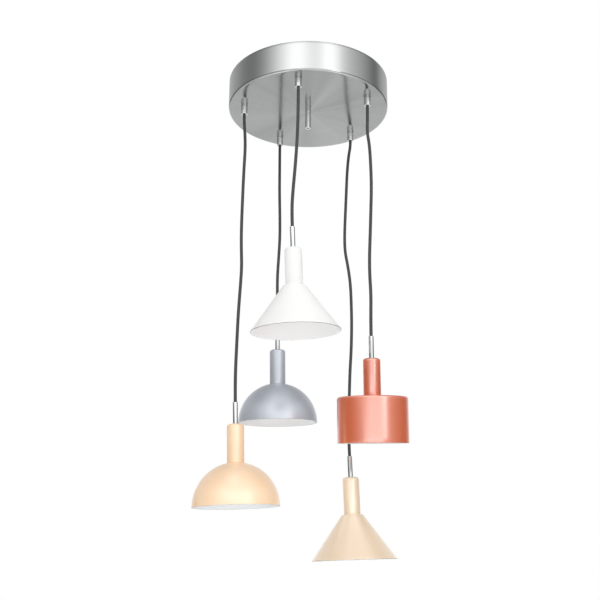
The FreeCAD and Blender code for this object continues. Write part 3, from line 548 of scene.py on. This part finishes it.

# %% [markdown]
# A cord hangs from its gland in the slack waves that it kept from its packing. Its route is a
# short list of points, chosen to follow the photograph, and a NURBS spline draws one
# smooth line near them. Blender gives that line as a mesh with no bevel, and the tube is
# carried along it: rings of points square to the line.

# %% The cords' routes
# Points in mm from where the cord leaves its gland: right, back and up.
ROUTES = {
    "white": ((0, 0, -40), (-0.5, -1.5, -100), (-3.5, -5, -170), (-8, -8.5, -235)),
    "peach": (
        (0, 0, -18), (3, -0.5, -50), (4.5, -1.5, -85), (2.5, -1, -135), (1, 0.5, -205),
        (0, 1.5, -270), (1.5, 0.5, -315), (3.5, -0.5, -350), (1.5, 0, -395),
        (-1.5, 1, -450), (-3, 2, -510), (-4, 2, -555),
    ),
    "grey": (
        (0, 0, -24), (0.5, -1, -60), (1, -2, -120), (3, -3, -180), (4, -5, -235),
        (2, -7, -285), (0, -8, -325), (0.5, -7.5, -370),
    ),
    "sand": (
        (0, 0, -14), (-4.5, 0, -38), (-8.5, 0.5, -82), (-10.5, -0.5, -130),
        (-13, -2.5, -185), (-15, -4, -235), (-14.5, -3, -272), (-8.5, -0.5, -305),
        (-3.5, 1.5, -345), (-2, 2.5, -390), (-1.5, 2, -440), (-3, 1, -495),
        (-6.5, 1.5, -545), (-8.5, 2.5, -600), (-10.5, 3, -645),
    ),
    "copper": (
        (0, 0, -26), (-1.5, -1, -62), (3, -2, -92), (5, -3.5, -135), (6, -6.5, -190),
        (4, -9.5, -245), (2, -13, -300), (0, -16, -345), (0, -18.5, -385), (2, -19.5, -428),
    ),
}
CORD_STRAIGHT, CORD_INSERT = 0.034, 0.006
LIFT, ROUTE_STEP = 0.1, 2.5 * MM


def spline_line(points):
    """Points of the NURBS spline, evenly spaced by about 2.5 mm along its length."""
    data = bpy.data.curves.new("route", "CURVE")
    data.dimensions = "3D"
    data.resolution_u = 24
    spline = data.splines.new("NURBS")
    spline.points.add(len(points) - 1)
    spline.points.foreach_set("co", np.c_[points, np.ones(len(points))].ravel())
    spline.order_u = 3
    spline.use_endpoint_u = True
    carrier = bpy.data.objects.new("route", data)
    line = bpy.data.meshes.new_from_object(carrier)
    raw = np.empty(len(line.vertices) * 3)
    line.vertices.foreach_get("co", raw)
    raw = raw.reshape(-1, 3)
    bpy.data.objects.remove(carrier)
    bpy.data.curves.remove(data)
    bpy.data.meshes.remove(line)
    walked = np.r_[0, np.cumsum(np.linalg.norm(np.diff(raw, axis=0), axis=1))]
    even = np.linspace(0, walked[-1], int(walked[-1] / ROUTE_STEP) + 1)
    return np.stack([np.interp(even, walked, raw[:, k]) for k in range(3)], 1)


for color in COLORS:
    print(color, "route:", len(ROUTES[color]), "points")

# %% A tube along a line
def tube(name, line, radius, around=24):
    """Ring j of point i: line_i + radius (cos a side_i + sin a other_i), closed by flat ends.
    side_i is square to the line there, taken from one direction that no cord runs along."""
    ahead = np.gradient(line, axis=0)
    ahead /= np.linalg.norm(ahead, axis=1)[:, None]
    side = np.cross(ahead, (0.5, 0.5, 0.7))
    side /= np.linalg.norm(side, axis=1)[:, None]
    other = np.cross(ahead, side)
    angle = 2 * pi * np.arange(around + 1) / around
    ring = np.cos(angle)[:, None, None] * side + np.sin(angle)[:, None, None] * other
    points = (line + radius * ring).transpose(1, 0, 2)
    rows, columns = points.shape[:2]
    row, column = np.arange(rows - 1)[:, None], np.arange(columns - 1)[None, :]
    faces = grid_faces(row, column, rows, columns)
    mesh = bpy.data.meshes.new(name)
    mesh.from_pydata(points.reshape(-1, 3).tolist(), [], faces.tolist())
    walked = np.r_[0, np.cumsum(np.linalg.norm(np.diff(line, axis=0), axis=1))]
    across = np.broadcast_to(angle * radius, (rows, columns))
    along = np.broadcast_to(walked[:, None], (rows, columns))
    unrolled = np.stack([across, along], -1).reshape(-1, 2)
    layer = mesh.uv_layers.new(name="cord_uv")
    layer.data.foreach_set("uv", unrolled[faces.ravel()].ravel())
    return add_piece(name, mesh, fill_ends=True)


print("a cord is", round(pi * CORD_DIAMETER / MM, 1), "mm round")

# %% The hanging cords
def hanging_cord(color):
    """The cord from its gland's lower face to its end in the grip."""
    start = gland_exit(color)
    base, _, _, down = pendant_place(color)
    route = [start] + [start + np.array(point) * MM for point in ROUTES[color]]
    route += [base - down * CORD_STRAIGHT, base + down * CORD_INSERT]
    line = spline_line(np.array(route))
    piece = tube(f"braided_cord_{color}", line, CORD_DIAMETER / 2)
    dress(piece, textile, f"cord_{color}", "cord_textile", f"cord_{color}")
    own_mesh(piece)
    return piece


make_five(hanging_cord)

# %% [markdown]
# Inside the canopy, each cord goes on from its gland to the terminal block under the strap.
# These tails show only from above, before the light is put up.

# %% The tails inside the canopy
# Each cord's way of the block in mm, the side it comes in from, and the points on its way.
TAILS = {
    "white": (-16.4, -1, ((-14, -88, -15), (-18, -54, -13))),
    "peach": (-8.2, -1, ((-86, -40, -15), (-44, -26, -13))),
    "grey": (16.4, -1, ((-70, 64, -15), (-42, 32, -13))),
    "sand": (8.2, 1, ((101, 70, -15), (110, 45, -13))),
    "copper": (0.0, 1, ()),
}
BLOCK_OFFSET, BLOCK_HALF, BLOCK_ENTRY = 45.0, 9.0, -10.5
TAIL_LEAD, TAIL_DEPTH, TAIL_START = 40.0, -14.0, -81.45


def cord_tail(color):
    """From the gland's bore up, over and into its way of the terminal block."""
    way, side, middle = TAILS[color]
    across, along = gland_exit(color)[:2] / MM
    face = BLOCK_OFFSET + BLOCK_HALF * side
    route = [(across, along, TAIL_START), (across, along, TAIL_DEPTH), *middle]
    route += [(face + TAIL_LEAD * side, way, BLOCK_ENTRY), (face, way, BLOCK_ENTRY)]
    line = spline_line(np.array(route, float) * MM)
    piece = tube(f"cord_tail_{color}", line, CORD_DIAMETER / 2)
    return dress(piece, textile, "canopy", "cord_textile", "cord_tails")


make_five(cord_tail)

# %% [markdown]
# The canopy is one pressed pan: a plate with a hole in the middle, a wall, and between them a
# small round edge. Its scratches follow the turning, so the same surface that the spinning
# makes on the real one is made here by turning its section.

# %% The canopy
POST_HOLE = 0.0043


def canopy():
    """The section runs down outside, round the edge, in under the plate, and back up inside."""
    out, deep, wall, edge = CANOPY_RADIUS, CANOPY_DEPTH, CANOPY_WALL, CANOPY_EDGE
    lip = wall / 3
    heights = np.linspace(lip, deep - edge, 12)
    radii = np.linspace(out - edge, POST_HOLE, 24)
    section = join_sections(
        arc((out - lip, lip), lip, -90, 0, 4),
        [(out, h) for h in heights[1:-1]],
        arc((out - edge, deep - edge), edge, 0, 90, 10),
        [(r, deep) for r in radii[1:]],
        [(r, deep - wall) for r in radii[::-1][:-1]],
        arc((out - edge, deep - edge), edge - wall, 90, 0, 8),
        [(out - wall, h) for h in heights[::-1][1:-1]],
        arc((out - wall + lip, lip), lip, 180, 270, 4),
    )
    piece = turned("canopy_pan", section, upright((0, 0, 0)), 256, closed=True)
    return dress(piece, steel, "canopy", "brushed_steel", "canopy_cover")


pan = canopy()
print(pan.name, len(pan.data.polygons), "faces")

# %% [markdown]
# A short chromed post in the middle holds the canopy up: it screws on to the rod that hangs
# from the strap. Its lower end has a blind hole with a conical bottom.

# %% The post
def post():
    """The section runs down outside, up in the blind hole, and up in the rod's hole."""
    radius, foot, soft, hole, edge = 0.0065, 0.106, 0.0008, 0.003, 0.0004
    thread, thread_end, drilled = 0.0042, 0.085, 0.094
    section = join_sections(
        [(thread, CANOPY_DEPTH), (radius, CANOPY_DEPTH)],
        arc((radius - soft, foot - soft), soft, 0, 90, 6),
        arc((hole + edge, foot - edge), edge, 90, 180, 4),
        [(hole, drilled), (0, drilled - hole / 2)],
        [(0, thread_end), (thread, thread_end)],
    )
    piece = turned("canopy_post", section, upright((0, 0, 0)), 64, closed=True)
    return dress(piece, satin_chrome, "canopy", "chrome", "centre_post")


middle_post = post()
print(middle_post.name, len(middle_post.data.polygons), "faces")

# %% [markdown]
# Each gland is turned from bar and chromed. The cord comes out of its lower face, and a small
# set screw with a hexagon socket clamps it from the outer side.

# %% The glands
CORD_BORE = 0.00355


def gland(color):
    """The gland's section: threaded neck, body, flared mouth and bore. The lower body is a little
    barrelled: radius less 0.5 mm x (share of the way down) squared."""
    radius, bore, neck, barrel, barrel_length = GLAND_RADIUS, CORD_BORE, 0.005, 0.0005, 0.011
    edge, soft, flare, neck_length = 0.0004, 0.0008, 0.0006, 0.0112
    top, foot = CANOPY_DEPTH, CANOPY_DEPTH + GLAND_LENGTH
    neck_top = top - neck_length
    x, y, _ = gland_exit(color)
    body = [
        (radius - barrel * share**2, foot - soft - (1 - share) * barrel_length)
        for share in np.linspace(0, 1, 10)
    ]
    section = join_sections(
        [(bore, neck_top), (neck, neck_top), (neck, top)],
        arc((radius - edge, top + edge), edge, -90, 0, 4),
        body,
        arc((radius - barrel - soft, foot - soft), soft, 0, 90, 6)[1:],
        arc((bore + flare, foot - flare), flare, 90, 180, 4),
    )
    piece = turned(f"turned_gland_{color}", section, upright((x, y, 0)), 64, closed=True)
    return dress(piece, satin_chrome, "canopy", "chrome", f"gland_{color}")


make_five(gland)

# %% Their set screws
SCREW_HEIGHT = 0.0076


def set_screw(color):
    """A cup-point screw along the canopy's radius. Its socket's rows are drawn in to a hexagon:
    radius x cos 30 / cos(angle folded into 60 degrees)."""
    turn = gland_angle(color)
    out = np.array((cos(turn), sin(turn), 0.0))
    side, up = np.array((-sin(turn), cos(turn), 0.0)), np.array((0.0, 0.0, 1.0))
    base = out * GLAND_CIRCLE + np.array((0, 0, -CANOPY_DEPTH - GLAND_LENGTH + SCREW_HEIGHT))
    tip, head, radius, soft, socket = CORD_BORE, 0.0078, 0.0015, 0.0002, 0.0011
    flat_bottom, bottom = head - 0.0012, head - 0.0014

    def hexagon(angle, radii):
        """Only the socket's rows change."""
        folded = (angle + pi / 6) % (pi / 3) - pi / 6
        inner = (radii < 1.2 * socket) & (radii > 0)
        return np.where(inner, radii * cos(pi / 6) / np.cos(folded), radii)

    section = join_sections(
        [(0, tip), (radius, tip)],
        arc((radius - soft, head - soft), soft, 0, 90, 5),
        [(socket, head), (socket, flat_bottom), (0, bottom)],
    )
    piece = turned(f"set_screw_{color}", section, (base, side, up, out), 48, ripple=hexagon)
    return dress(piece, chrome, "canopy", "chrome", "gland_screws")


make_five(set_screw)

# %% [markdown]
# A pendant is a stack of turned pieces on one leaning axis. The chromed grip clamps the cord
# and screws into the painted stem cup, whose top edge is well rounded. The shade's flat top
# is clamped under the cup.

# %% Grips and stem cups
GRIP_RADIUS, GRIP_LENGTH = 0.005, 0.0435
STEM_RADIUS, STEM_LENGTH, STEM_EDGE, SHEET = 0.017, 0.075, 0.005, 0.0012
SHADE_TOP = GRIP_LENGTH + STEM_LENGTH


def cord_grip(color):
    """A tube with rounded upper edges: its bore takes the cord, and its foot is threaded."""
    radius, bore, soft, lip, thread, core = GRIP_RADIUS, CORD_BORE, 0.0006, 0.0003, 0.004, 0.0022
    foot, bored = GRIP_LENGTH + 0.010, 0.028
    section = join_sections(
        arc((bore + lip, lip), lip, 180, 270, 4),
        arc((radius - soft, soft), soft, -90, 0, 6),
        [(radius, GRIP_LENGTH), (thread, GRIP_LENGTH), (thread, foot), (core, foot)],
        [(core, bored), (bore, bored)],
    )
    piece = turned(f"chromed_grip_{color}", section, pendant_place(color), 64, closed=True)
    return dress(piece, chrome, f"pendant_{color}", "chrome", f"cord_grip_{color}")


def stem_cup(color):
    """A deep-drawn cup, upside down: a small top hole, a round edge and a straight wall."""
    out, top, foot, edge = STEM_RADIUS, GRIP_LENGTH, SHADE_TOP, STEM_EDGE
    hole, inside, soft = 0.0041, STEM_RADIUS - SHEET, 0.0003
    section = join_sections(
        [(hole, top + SHEET), (hole, top)],
        arc((out - edge, top + edge), edge, -90, 0, 12),
        arc((out - soft, foot - soft), soft, 0, 90, 4),
        [(inside, foot)],
        arc((inside - edge + SHEET, top + edge), edge - SHEET, 0, -90, 10),
    )
    piece = turned(f"drawn_cup_{color}", section, pendant_place(color), 96, closed=True)
    return dress(piece, paints[color], f"pendant_{color}", f"paint_{color}", f"stem_cup_{color}")


make_five(cord_grip)
make_five(stem_cup)

# %% [markdown]
# The shades are spun over a wooden former. A spun edge is never sharp: the sheet turns over
# the shoulder in a small round, and the rim is rounded where it was trimmed. Each section
# runs from the top hole along the outside to the rim and back along the inside. The outside
# takes the pendant's colour and the inside is white. Between them the trimmed edge is bare
# aluminium, darkened to a thin line of painted shade. So the rows of faces take one of three
# materials.

# %% Rounded corners and rims
def rounded_corner(before, corner, after, radius, count=7):
    """An arc that touches both runs at a corner: its ends lie radius x tan(half the turn)
    from the corner, and its points are a quadratic blend of the two ends and the corner."""
    before, corner, after = (np.array(p, float) for p in (before, corner, after))
    back = (before - corner) / np.linalg.norm(before - corner)
    ahead = (after - corner) / np.linalg.norm(after - corner)
    half = 0.5 * np.arccos(np.clip(-back @ ahead, -1, 1))
    start, end = corner + back * radius * tan(half), corner + ahead * radius * tan(half)
    share = np.linspace(0, 1, count)[:, None]
    curve = (1 - share) ** 2 * start + 2 * share * (1 - share) * corner + share**2 * end
    return [tuple(point) for point in curve]


def rim_round(outer, inner, count=7):
    """A half circle from the sheet's outer face to its inner face, bulging past the rim."""
    outer, inner = np.array(outer, float), np.array(inner, float)
    middle, half = (outer + inner) / 2, (outer - inner) / 2
    past = np.array((-half[1], half[0]))
    angle = np.linspace(0, pi, count)[:, None]
    return [tuple(p) for p in middle + np.cos(angle) * half + np.sin(angle) * past]


bulge = max(depth for _, depth in rim_round((1.2, 0.0), (0.0, 0.0)))
print("the rim of a 1.2 mm sheet bulges by", round(bulge, 2), "mm")

# %% The funnel's section
SHADE_HOLE = 0.0141
FUNNEL_TOP, FUNNEL_RIM, FUNNEL_HEIGHT = 0.0218, 0.0865, 0.089
FUNNEL_SHOULDER, INNER_SHOULDER = 0.004, 0.003


def funnel_section():
    """A flat top, a small round shoulder and a straight cone, then the same again inside.
    The rim is a half circle whose lowest point lies at the shade's foot."""
    top, foot = SHADE_TOP, SHADE_TOP + FUNNEL_HEIGHT
    slope = (FUNNEL_RIM - FUNNEL_TOP) / FUNNEL_HEIGHT
    lean = np.array((slope, 1.0)) / sqrt(1 + slope**2)
    inward = SHEET * np.array((-lean[1], lean[0]))
    low = foot - SHEET / 2
    middle = np.array((FUNNEL_TOP + slope * (low - top) - SHEET / 2 / lean[1], low))
    tip, inner_tip = middle - inward / 2, middle + inward / 2
    shoulder = np.array((FUNNEL_TOP, top))
    inner_top = inner_tip - lean * (inner_tip[1] - top - SHEET) / lean[1]
    shares = np.linspace(0.12, 0.95, 10)[:, None]
    outside = join_sections(
        [(SHADE_HOLE, top + SHEET), (SHADE_HOLE, top)],
        rounded_corner((SHADE_HOLE, top), shoulder, tip, FUNNEL_SHOULDER),
        [tuple(point) for point in shoulder + (tip - shoulder) * shares],
    )
    inside = join_sections(
        [tuple(point) for point in inner_top + (inner_tip - inner_top) * shares[::-1]],
        rounded_corner(inner_tip, inner_top, (SHADE_HOLE, top + SHEET), INNER_SHOULDER),
    )
    return outside, rim_round(tip, inner_tip), inside


print("points outside, on the rim and inside:", *map(len, funnel_section()))

# %% The dome's section
DOME_RADIUS = 0.0845


def dome_section():
    """A ball's upper half, cut flat under the stem cup. Outside and inside share a centre."""
    height = sqrt(DOME_RADIUS**2 - STEM_RADIUS**2)
    centre = SHADE_TOP + height
    top, inner = SHADE_TOP + SHEET, DOME_RADIUS - SHEET
    high = np.degrees(np.arcsin(height / DOME_RADIUS))
    inner_high = np.degrees(np.arcsin((height - SHEET) / inner))
    low = np.degrees(SHEET / 2 / DOME_RADIUS)
    outside = join_sections(
        [(SHADE_HOLE, top), (SHADE_HOLE, SHADE_TOP)],
        arc((0, centre), DOME_RADIUS, -high, -low, 40),
    )
    outer_tip = (DOME_RADIUS, centre - SHEET / 2)
    rim = rim_round(outer_tip, (inner, centre - SHEET / 2))
    inside = arc((0, centre), inner, -low, -inner_high, 40)
    return outside, rim, inside


print("points outside, on the rim and inside:", *map(len, dome_section()))

# %% The drum's section
DRUM_RADIUS, DRUM_HEIGHT, DRUM_EDGE = 0.0685, 0.0875, 0.004


def drum_section():
    """A flat top, a rounded corner and a straight wall."""
    top, foot, out = SHADE_TOP, SHADE_TOP + DRUM_HEIGHT, DRUM_RADIUS
    edge, inner = DRUM_EDGE, DRUM_RADIUS - SHEET
    heights = np.linspace(top + edge, foot - SHEET / 2, 10)
    tops = np.linspace(SHADE_HOLE, out - edge, 8)
    outside = join_sections(
        [(SHADE_HOLE, top + SHEET)], [(r, top) for r in tops[:-1]],
        arc((out - edge, top + edge), edge, -90, 0, 10), [(out, h) for h in heights[1:-1]],
    )
    rim = rim_round((out, heights[-1]), (inner, heights[-1]))
    inside = join_sections(
        [(inner, h) for h in heights[::-1][1:-1]],
        arc((out - edge, top + edge), edge - SHEET, 0, -90, 8),
        [(r, top + SHEET) for r in tops[::-1][1:-1]],
    )
    return outside, rim, inside


print("points outside, on the rim and inside:", *map(len, drum_section()))

# %% The shades
SHADE_AROUND = 192
SECTIONS = {
    "white": funnel_section, "peach": dome_section, "grey": dome_section,
    "sand": funnel_section, "copper": drum_section,
}


def shade(color):
    """Turns the section. Its rows are paint outside (0), white inside (1) and bare metal darkened
    as painted shade on the rim (2)."""
    outside, rim, inside = SECTIONS[color]()
    section = outside + rim + inside
    place = pendant_place(color)
    piece = turned(f"spun_shade_{color}", section, place, SHADE_AROUND, closed=True)
    dress(piece, paints[color], f"pendant_{color}", f"paint_{color}", f"shade_{color}")
    piece.data.materials.append(inside_paint)
    piece.data.materials.append(shaded_rim_metal)
    rows = np.arange(len(piece.data.polygons)) // SHADE_AROUND
    # The rim rows take the bare metal with painted shade.
    trimmed = (rows >= len(outside) + 1) & (rows < len(outside) + len(rim) - 2)
    inner = rows >= len(outside) + len(rim) - 2
    choice = np.where(trimmed, 2, inner).astype(np.int32)
    piece.data.polygons.foreach_set("material_index", choice)
    return piece


make_five(shade)

# %% [markdown]
# Seen from below, each shade shows its clamping ring, the lampholder's mouth and the bulb.
# The ring has finger notches, which are a gentle wave in its radius. The bulb's neck flows
# into the globe in one curve.

# %% The clamping rings
RING_TOP, RING_HEIGHT, RING_RADIUS, NOTCH_DEPTH = SHADE_TOP + SHEET, 0.007, 0.02, 0.0012


def shade_ring(color):
    """On the outer rows, the radius less 1.2 mm x cos(6 angle) to the eighth: twelve notches."""
    top, foot, bore, lip, out = RING_TOP, RING_TOP + RING_HEIGHT, SHADE_HOLE, 0.0164, RING_RADIUS
    slope, shoulder, edge = 0.003, 0.002, 0.0006

    def notches(angle, radii):
        """Only the outer rows change."""
        dip = NOTCH_DEPTH * np.cos(6 * angle) ** 8
        return np.where(radii > lip + 0.001, radii - dip, radii)

    section = join_sections(
        [(bore, top), (lip, top)],
        rounded_corner((lip, top), (out, top + slope), (out, foot), shoulder, 6),
        rounded_corner((out, top), (out, foot), (bore, foot), edge, 4), [(bore, foot)],
    )
    place = pendant_place(color)
    piece = turned(f"clamp_ring_{color}", section, place, 144, closed=True, ripple=notches)
    return dress(piece, white_plastic, f"pendant_{color}", "white_plastic", f"shade_ring_{color}")


make_five(shade_ring)

# %% The bulbs
HOLDER_FOOT = RING_TOP + 0.0098
GLOBE_RADIUS, GLOBE_LENGTH, GLASS_WALL = 0.0225, 0.053, 0.001
NECK_RADIUS, NECK_BEND, GLOBE_STARTS = 0.007, 0.008, 48.0


def bulb(color):
    """The outside runs from the neck through a smooth blend into the globe, and back inside.
    The blend is a quadratic one of the neck's foot, a bend below it and the globe's start."""
    centre = HOLDER_FOOT + GLOBE_LENGTH - GLOBE_RADIUS

    def skin(offset):
        """The glass's outline, as far inside its outer face as the offset says."""
        ball = arc((0, centre), GLOBE_RADIUS - offset, -GLOBE_STARTS, 90, 32)
        foot = np.array((NECK_RADIUS - offset, HOLDER_FOOT))
        bend = np.array((NECK_RADIUS - offset, HOLDER_FOOT + NECK_BEND))
        tip = np.array(ball[0])
        share = np.linspace(0, 1, 10)[:-1, None]
        blend = (1 - share) ** 2 * foot + 2 * share * (1 - share) * bend + share**2 * tip
        return [tuple(point) for point in blend] + ball

    section = skin(0.0) + skin(GLASS_WALL)[::-1]
    piece = turned(f"opal_bulb_{color}", section, pendant_place(color), 96, closed=True)
    return dress(piece, opal, f"bulb_{color}", "opal_glass", f"bulb_globe_{color}")


make_five(bulb)

# %% [markdown]
# The hidden parts keep the frame's own shapes: strap, rod, nuts, screws, terminal block,
# lampholders and bulb caps. They only need their finishes.

# %% Finishes of the frame's own parts
FINISHES = {
    zinc: (
        "ceiling_bracket", "earth_tag", "earth_screw", "hanger_rod", "rod_nut", "terminal_screws",
    ),
    chrome: ("gland_nuts",),
    block_plastic: ("terminal_block",),
    white_plastic: tuple(f"lampholder_{color}" for color in COLORS),
    nickel: tuple(f"bulb_cap_{color}" for color in COLORS),
}
for material, names in FINISHES.items():
    for name in names:
        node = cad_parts[name]
        node.data.materials.clear()
        node.data.materials.append(material)
    print(material.name, "on", len(names), "nodes")

# %% [markdown]
# The studio is a pale room with two bright bands in front of the light and a dark flag at each
# side. Their reflections draw the bright and dark bands on the steel wall and the chrome. The
# world is that room: a ring of tones round the light, written by heading, times a share
# written by elevation. The camera sees plain white, at strength 1, and so do glossy and
# see-through rays that go to the backdrop behind the light.
#
# Area lamps do the rest. Two soft boxes stand in front, a long low one brightens what the
# plate and the glands mirror, and one lies below and lights the shades' insides. Three fills,
# at both sides and behind, light the paint only, because metal would show them as hard bands.

# %% Soft boxes and fills
LAMP_AIM_Z = -0.25


def heading_point(turn, distance, z):
    """A point at that many degrees from the camera's side of the light, positive to its right."""
    angle = VIEW_TURN + radians(turn) - pi / 2
    return Vector((cos(angle) * distance, sin(angle) * distance, z))


def soft_box(name, turn, distance, z, width, height, power, mirrored=True):
    """A rectangular area lamp that faces the light's upper middle. One at no distance lies below
    and faces up. A fill that isn't mirrored lights the paint without a band on the metal."""
    data = bpy.data.lights.new(name, "AREA")
    data.shape = "RECTANGLE"
    data.size = width
    data.size_y = height
    data.energy = power
    lamp = bpy.data.objects.new(name, data)
    lamp.location = heading_point(turn, distance, z)
    aim = Vector((0.0, 0.0, LAMP_AIM_Z)) - lamp.location
    lamp.rotation_euler = aim.to_track_quat("-Z", "Y").to_euler()
    lamp.visible_glossy = mirrored
    bpy.context.scene.collection.objects.link(lamp)


# Turn in degrees, distance, z, width and height in metres, and power in watts.
soft_box("soft_box_wide", 13, 2.6, -0.35, 2.6, 1.4, 6.5)
soft_box("soft_box_right", 36, 2.5, -0.35, 0.5, 1.4, 3)
soft_box("soft_box_below", 0, 0.0, -2.4, 2.6, 2.6, 20)
soft_box("soft_box_low", 0, 2.4, -1.3, 2.8, 0.6, 7)
soft_box("fill_left", -105, 2.6, -0.4, 1.6, 1.6, 16, mirrored=False)
soft_box("fill_right", 105, 2.6, -0.4, 1.6, 1.6, 12, mirrored=False)
soft_box("fill_back", 180, 2.6, -0.4, 3.0, 1.8, 32, mirrored=False)
print("lamps:", len(bpy.data.lights), "with", sum(lamp.energy for lamp in bpy.data.lights), "W")

# %% The room's tones
WHITE = (1.0, 1.0, 1.0, 1.0)
# Heading from the camera's side in degrees, positive to its right, and how bright the room is
# there: two bright bands in front, dark flags at the sides, the pale backdrop at the ends.
ROOM_TONES = (
    (-180, 0.50), (-145, 0.60), (-122, 0.52), (-104, 0.36), (-84, 0.30), (-66, 0.58), (-50, 1.1),
    (-34, 1.8), (-22, 2.3), (-8, 2.2), (4, 1.75), (16, 1.8), (26, 2.35), (38, 2.2), (50, 1.35),
    (64, 0.95), (80, 0.7), (96, 0.45), (112, 0.18), (126, 0.55), (145, 0.65), (180, 0.50),
)
# Sine of the elevation, and the share of those tones that the room shows there.
ROOM_HEIGHTS = (
    (-1.0, 0.4), (-0.5, 0.4), (-0.2, 0.38), (0.12, 0.35), (0.28, 0.75), (0.4, 1.05), (0.6, 1.05),
    (0.72, 0.5), (0.85, 0.45), (0.93, 0.9), (1.0, 1.0),
)
# The white backdrop, by a ray's way back and its way up: where it begins and where it is full.
BACK_BEGINS, BACK_FULL = -0.7, -0.85
TOP_BEGINS, TOP_FULL = 0.45, 0.3


def set_stops(ramp, stops):
    """Makes a colour ramp smooth and spreads the stops over it, from the first at 0 to the last
    at 1. Each tone is given as a share of the brightest one, which is returned."""
    ramp.interpolation = "B_SPLINE"
    while len(ramp.elements) < len(stops):
        ramp.elements.new(0.5)
    low, high = stops[0][0], stops[-1][0]
    brightest = max(tone for _, tone in stops)
    for element, (at, tone) in zip(ramp.elements, stops):
        element.position = (at - low) / (high - low)
        element.color = (*[tone / brightest] * 3, 1.0)
    return brightest


def mirror_rays(tree):
    """Two sockets: 1 for the camera's own rays, and 1 for rays from a mirror or through glass."""
    ray = add_node(tree, "ShaderNodeLightPath").outputs
    mirrored = add_node(
        tree, "ShaderNodeMath", {0: ray["Is Glossy Ray"], 1: ray["Is Transmission Ray"]},
        operation="MAXIMUM",
    ).outputs[0]
    return ray["Is Camera Ray"], mirrored


print("brightest tone:", max(tone for _, tone in ROOM_TONES))

# %% The room
def studio_world():
    """Tone = heading's tone x elevation's share. The camera sees plain white, and so do glossy
    and see-through rays that go to the backdrop, which is behind the light up to 20 degrees."""
    world = bpy.data.worlds.new("studio")
    bpy.context.scene.world = world
    world.use_nodes = True
    tree = world.node_tree
    tree.nodes.clear()
    direct, mirrored = mirror_rays(tree)
    way = add_node(tree, "ShaderNodeTexCoord").outputs["Generated"]
    turned_way = add_node(
        tree, "ShaderNodeVectorRotate", {"Vector": way, "Angle": pi / 2 - VIEW_TURN},
        rotation_type="Z_AXIS",
    ).outputs[0]
    axes = add_node(tree, "ShaderNodeSeparateXYZ", {0: turned_way}).outputs
    angle = add_node(
        tree, "ShaderNodeMath", {0: axes[1], 1: axes[0]}, operation="ARCTAN2"
    ).outputs[0]
    heading = add_node(
        tree, "ShaderNodeMapRange", {"Value": angle, "From Min": -pi, "From Max": pi}
    ).outputs[0]
    tones = add_node(tree, "ShaderNodeValToRGB", {0: heading})
    sine = add_node(
        tree, "ShaderNodeMapRange", {"Value": axes[2], "From Min": -1.0, "From Max": 1.0}
    ).outputs[0]
    shares = add_node(tree, "ShaderNodeValToRGB", {0: sine})
    peak = set_stops(tones.color_ramp, ROOM_TONES) * set_stops(shares.color_ramp, ROOM_HEIGHTS)
    both = add_node(
        tree, "ShaderNodeMix", {0: 1.0, 6: tones.outputs[0], 7: shares.outputs[0]},
        data_type="RGBA", blend_type="MULTIPLY",
    ).outputs[2]
    room = add_node(tree, "ShaderNodeBackground", {"Color": both, "Strength": peak}).outputs[0]
    behind = add_node(tree, "ShaderNodeMapRange", {
        "Value": axes[0], "From Min": BACK_BEGINS, "From Max": BACK_FULL,
    }).outputs[0]
    below = add_node(tree, "ShaderNodeMapRange", {
        "Value": axes[2], "From Min": TOP_BEGINS, "From Max": TOP_FULL,
    }).outputs[0]
    backdrop = add_node(
        tree, "ShaderNodeMath", {0: behind, 1: below}, operation="MULTIPLY"
    ).outputs[0]
    reflected = add_node(
        tree, "ShaderNodeMath", {0: mirrored, 1: backdrop}, operation="MULTIPLY"
    ).outputs[0]
    shown = add_node(
        tree, "ShaderNodeMath", {0: direct, 1: reflected}, operation="MAXIMUM"
    ).outputs[0]
    white = add_node(tree, "ShaderNodeBackground", {"Color": WHITE, "Strength": 1.0}).outputs[0]
    seen = add_node(tree, "ShaderNodeMixShader", {0: shown, 1: room, 2: white}).outputs[0]
    add_node(tree, "ShaderNodeOutputWorld", {"Surface": seen})
    return peak


print("the room is", round(studio_world(), 2), "at its brightest")

# %% The floor
FLOOR_HALF, FLOOR_Z, WHITE_SHARE = 7.0, -3.0, 0.33


def studio_floor():
    """A plain pale floor, well below the lowest shade. To the camera and in mirrors, a third of
    it is the backdrop's white and the rest is lit paint, which keeps the shadow."""
    signs = ((-1, -1), (1, -1), (1, 1), (-1, 1))
    points = [(x * FLOOR_HALF, y * FLOOR_HALF, FLOOR_Z) for x, y in signs]
    mesh = bpy.data.meshes.new("studio_floor")
    mesh.from_pydata(points, [], [(0, 1, 2, 3)])
    floor = bpy.data.objects.new("studio_floor", mesh)
    bpy.context.scene.collection.objects.link(floor)
    material, tree = new_material("matt_floor_paint")
    direct, mirrored = mirror_rays(tree)
    shown = add_node(
        tree, "ShaderNodeMath", {0: direct, 1: mirrored}, operation="MAXIMUM"
    ).outputs[0]
    share = add_node(
        tree, "ShaderNodeMath", {0: shown, 1: WHITE_SHARE}, operation="MULTIPLY"
    ).outputs[0]
    paint = add_node(
        tree, "ShaderNodeBsdfDiffuse", {"Color": linear("#f0f0f0"), "Roughness": 0.5}
    ).outputs[0]
    white = add_node(tree, "ShaderNodeEmission", {"Color": WHITE}).outputs[0]
    both = add_node(tree, "ShaderNodeMixShader", {0: share, 1: paint, 2: white}).outputs[0]
    add_node(tree, "ShaderNodeOutputMaterial", {"Surface": both})
    mesh.materials.append(material)
    return floor


print(studio_floor().name, "at z =", FLOOR_Z)
bpy.context.scene.view_settings.view_transform = "Standard"
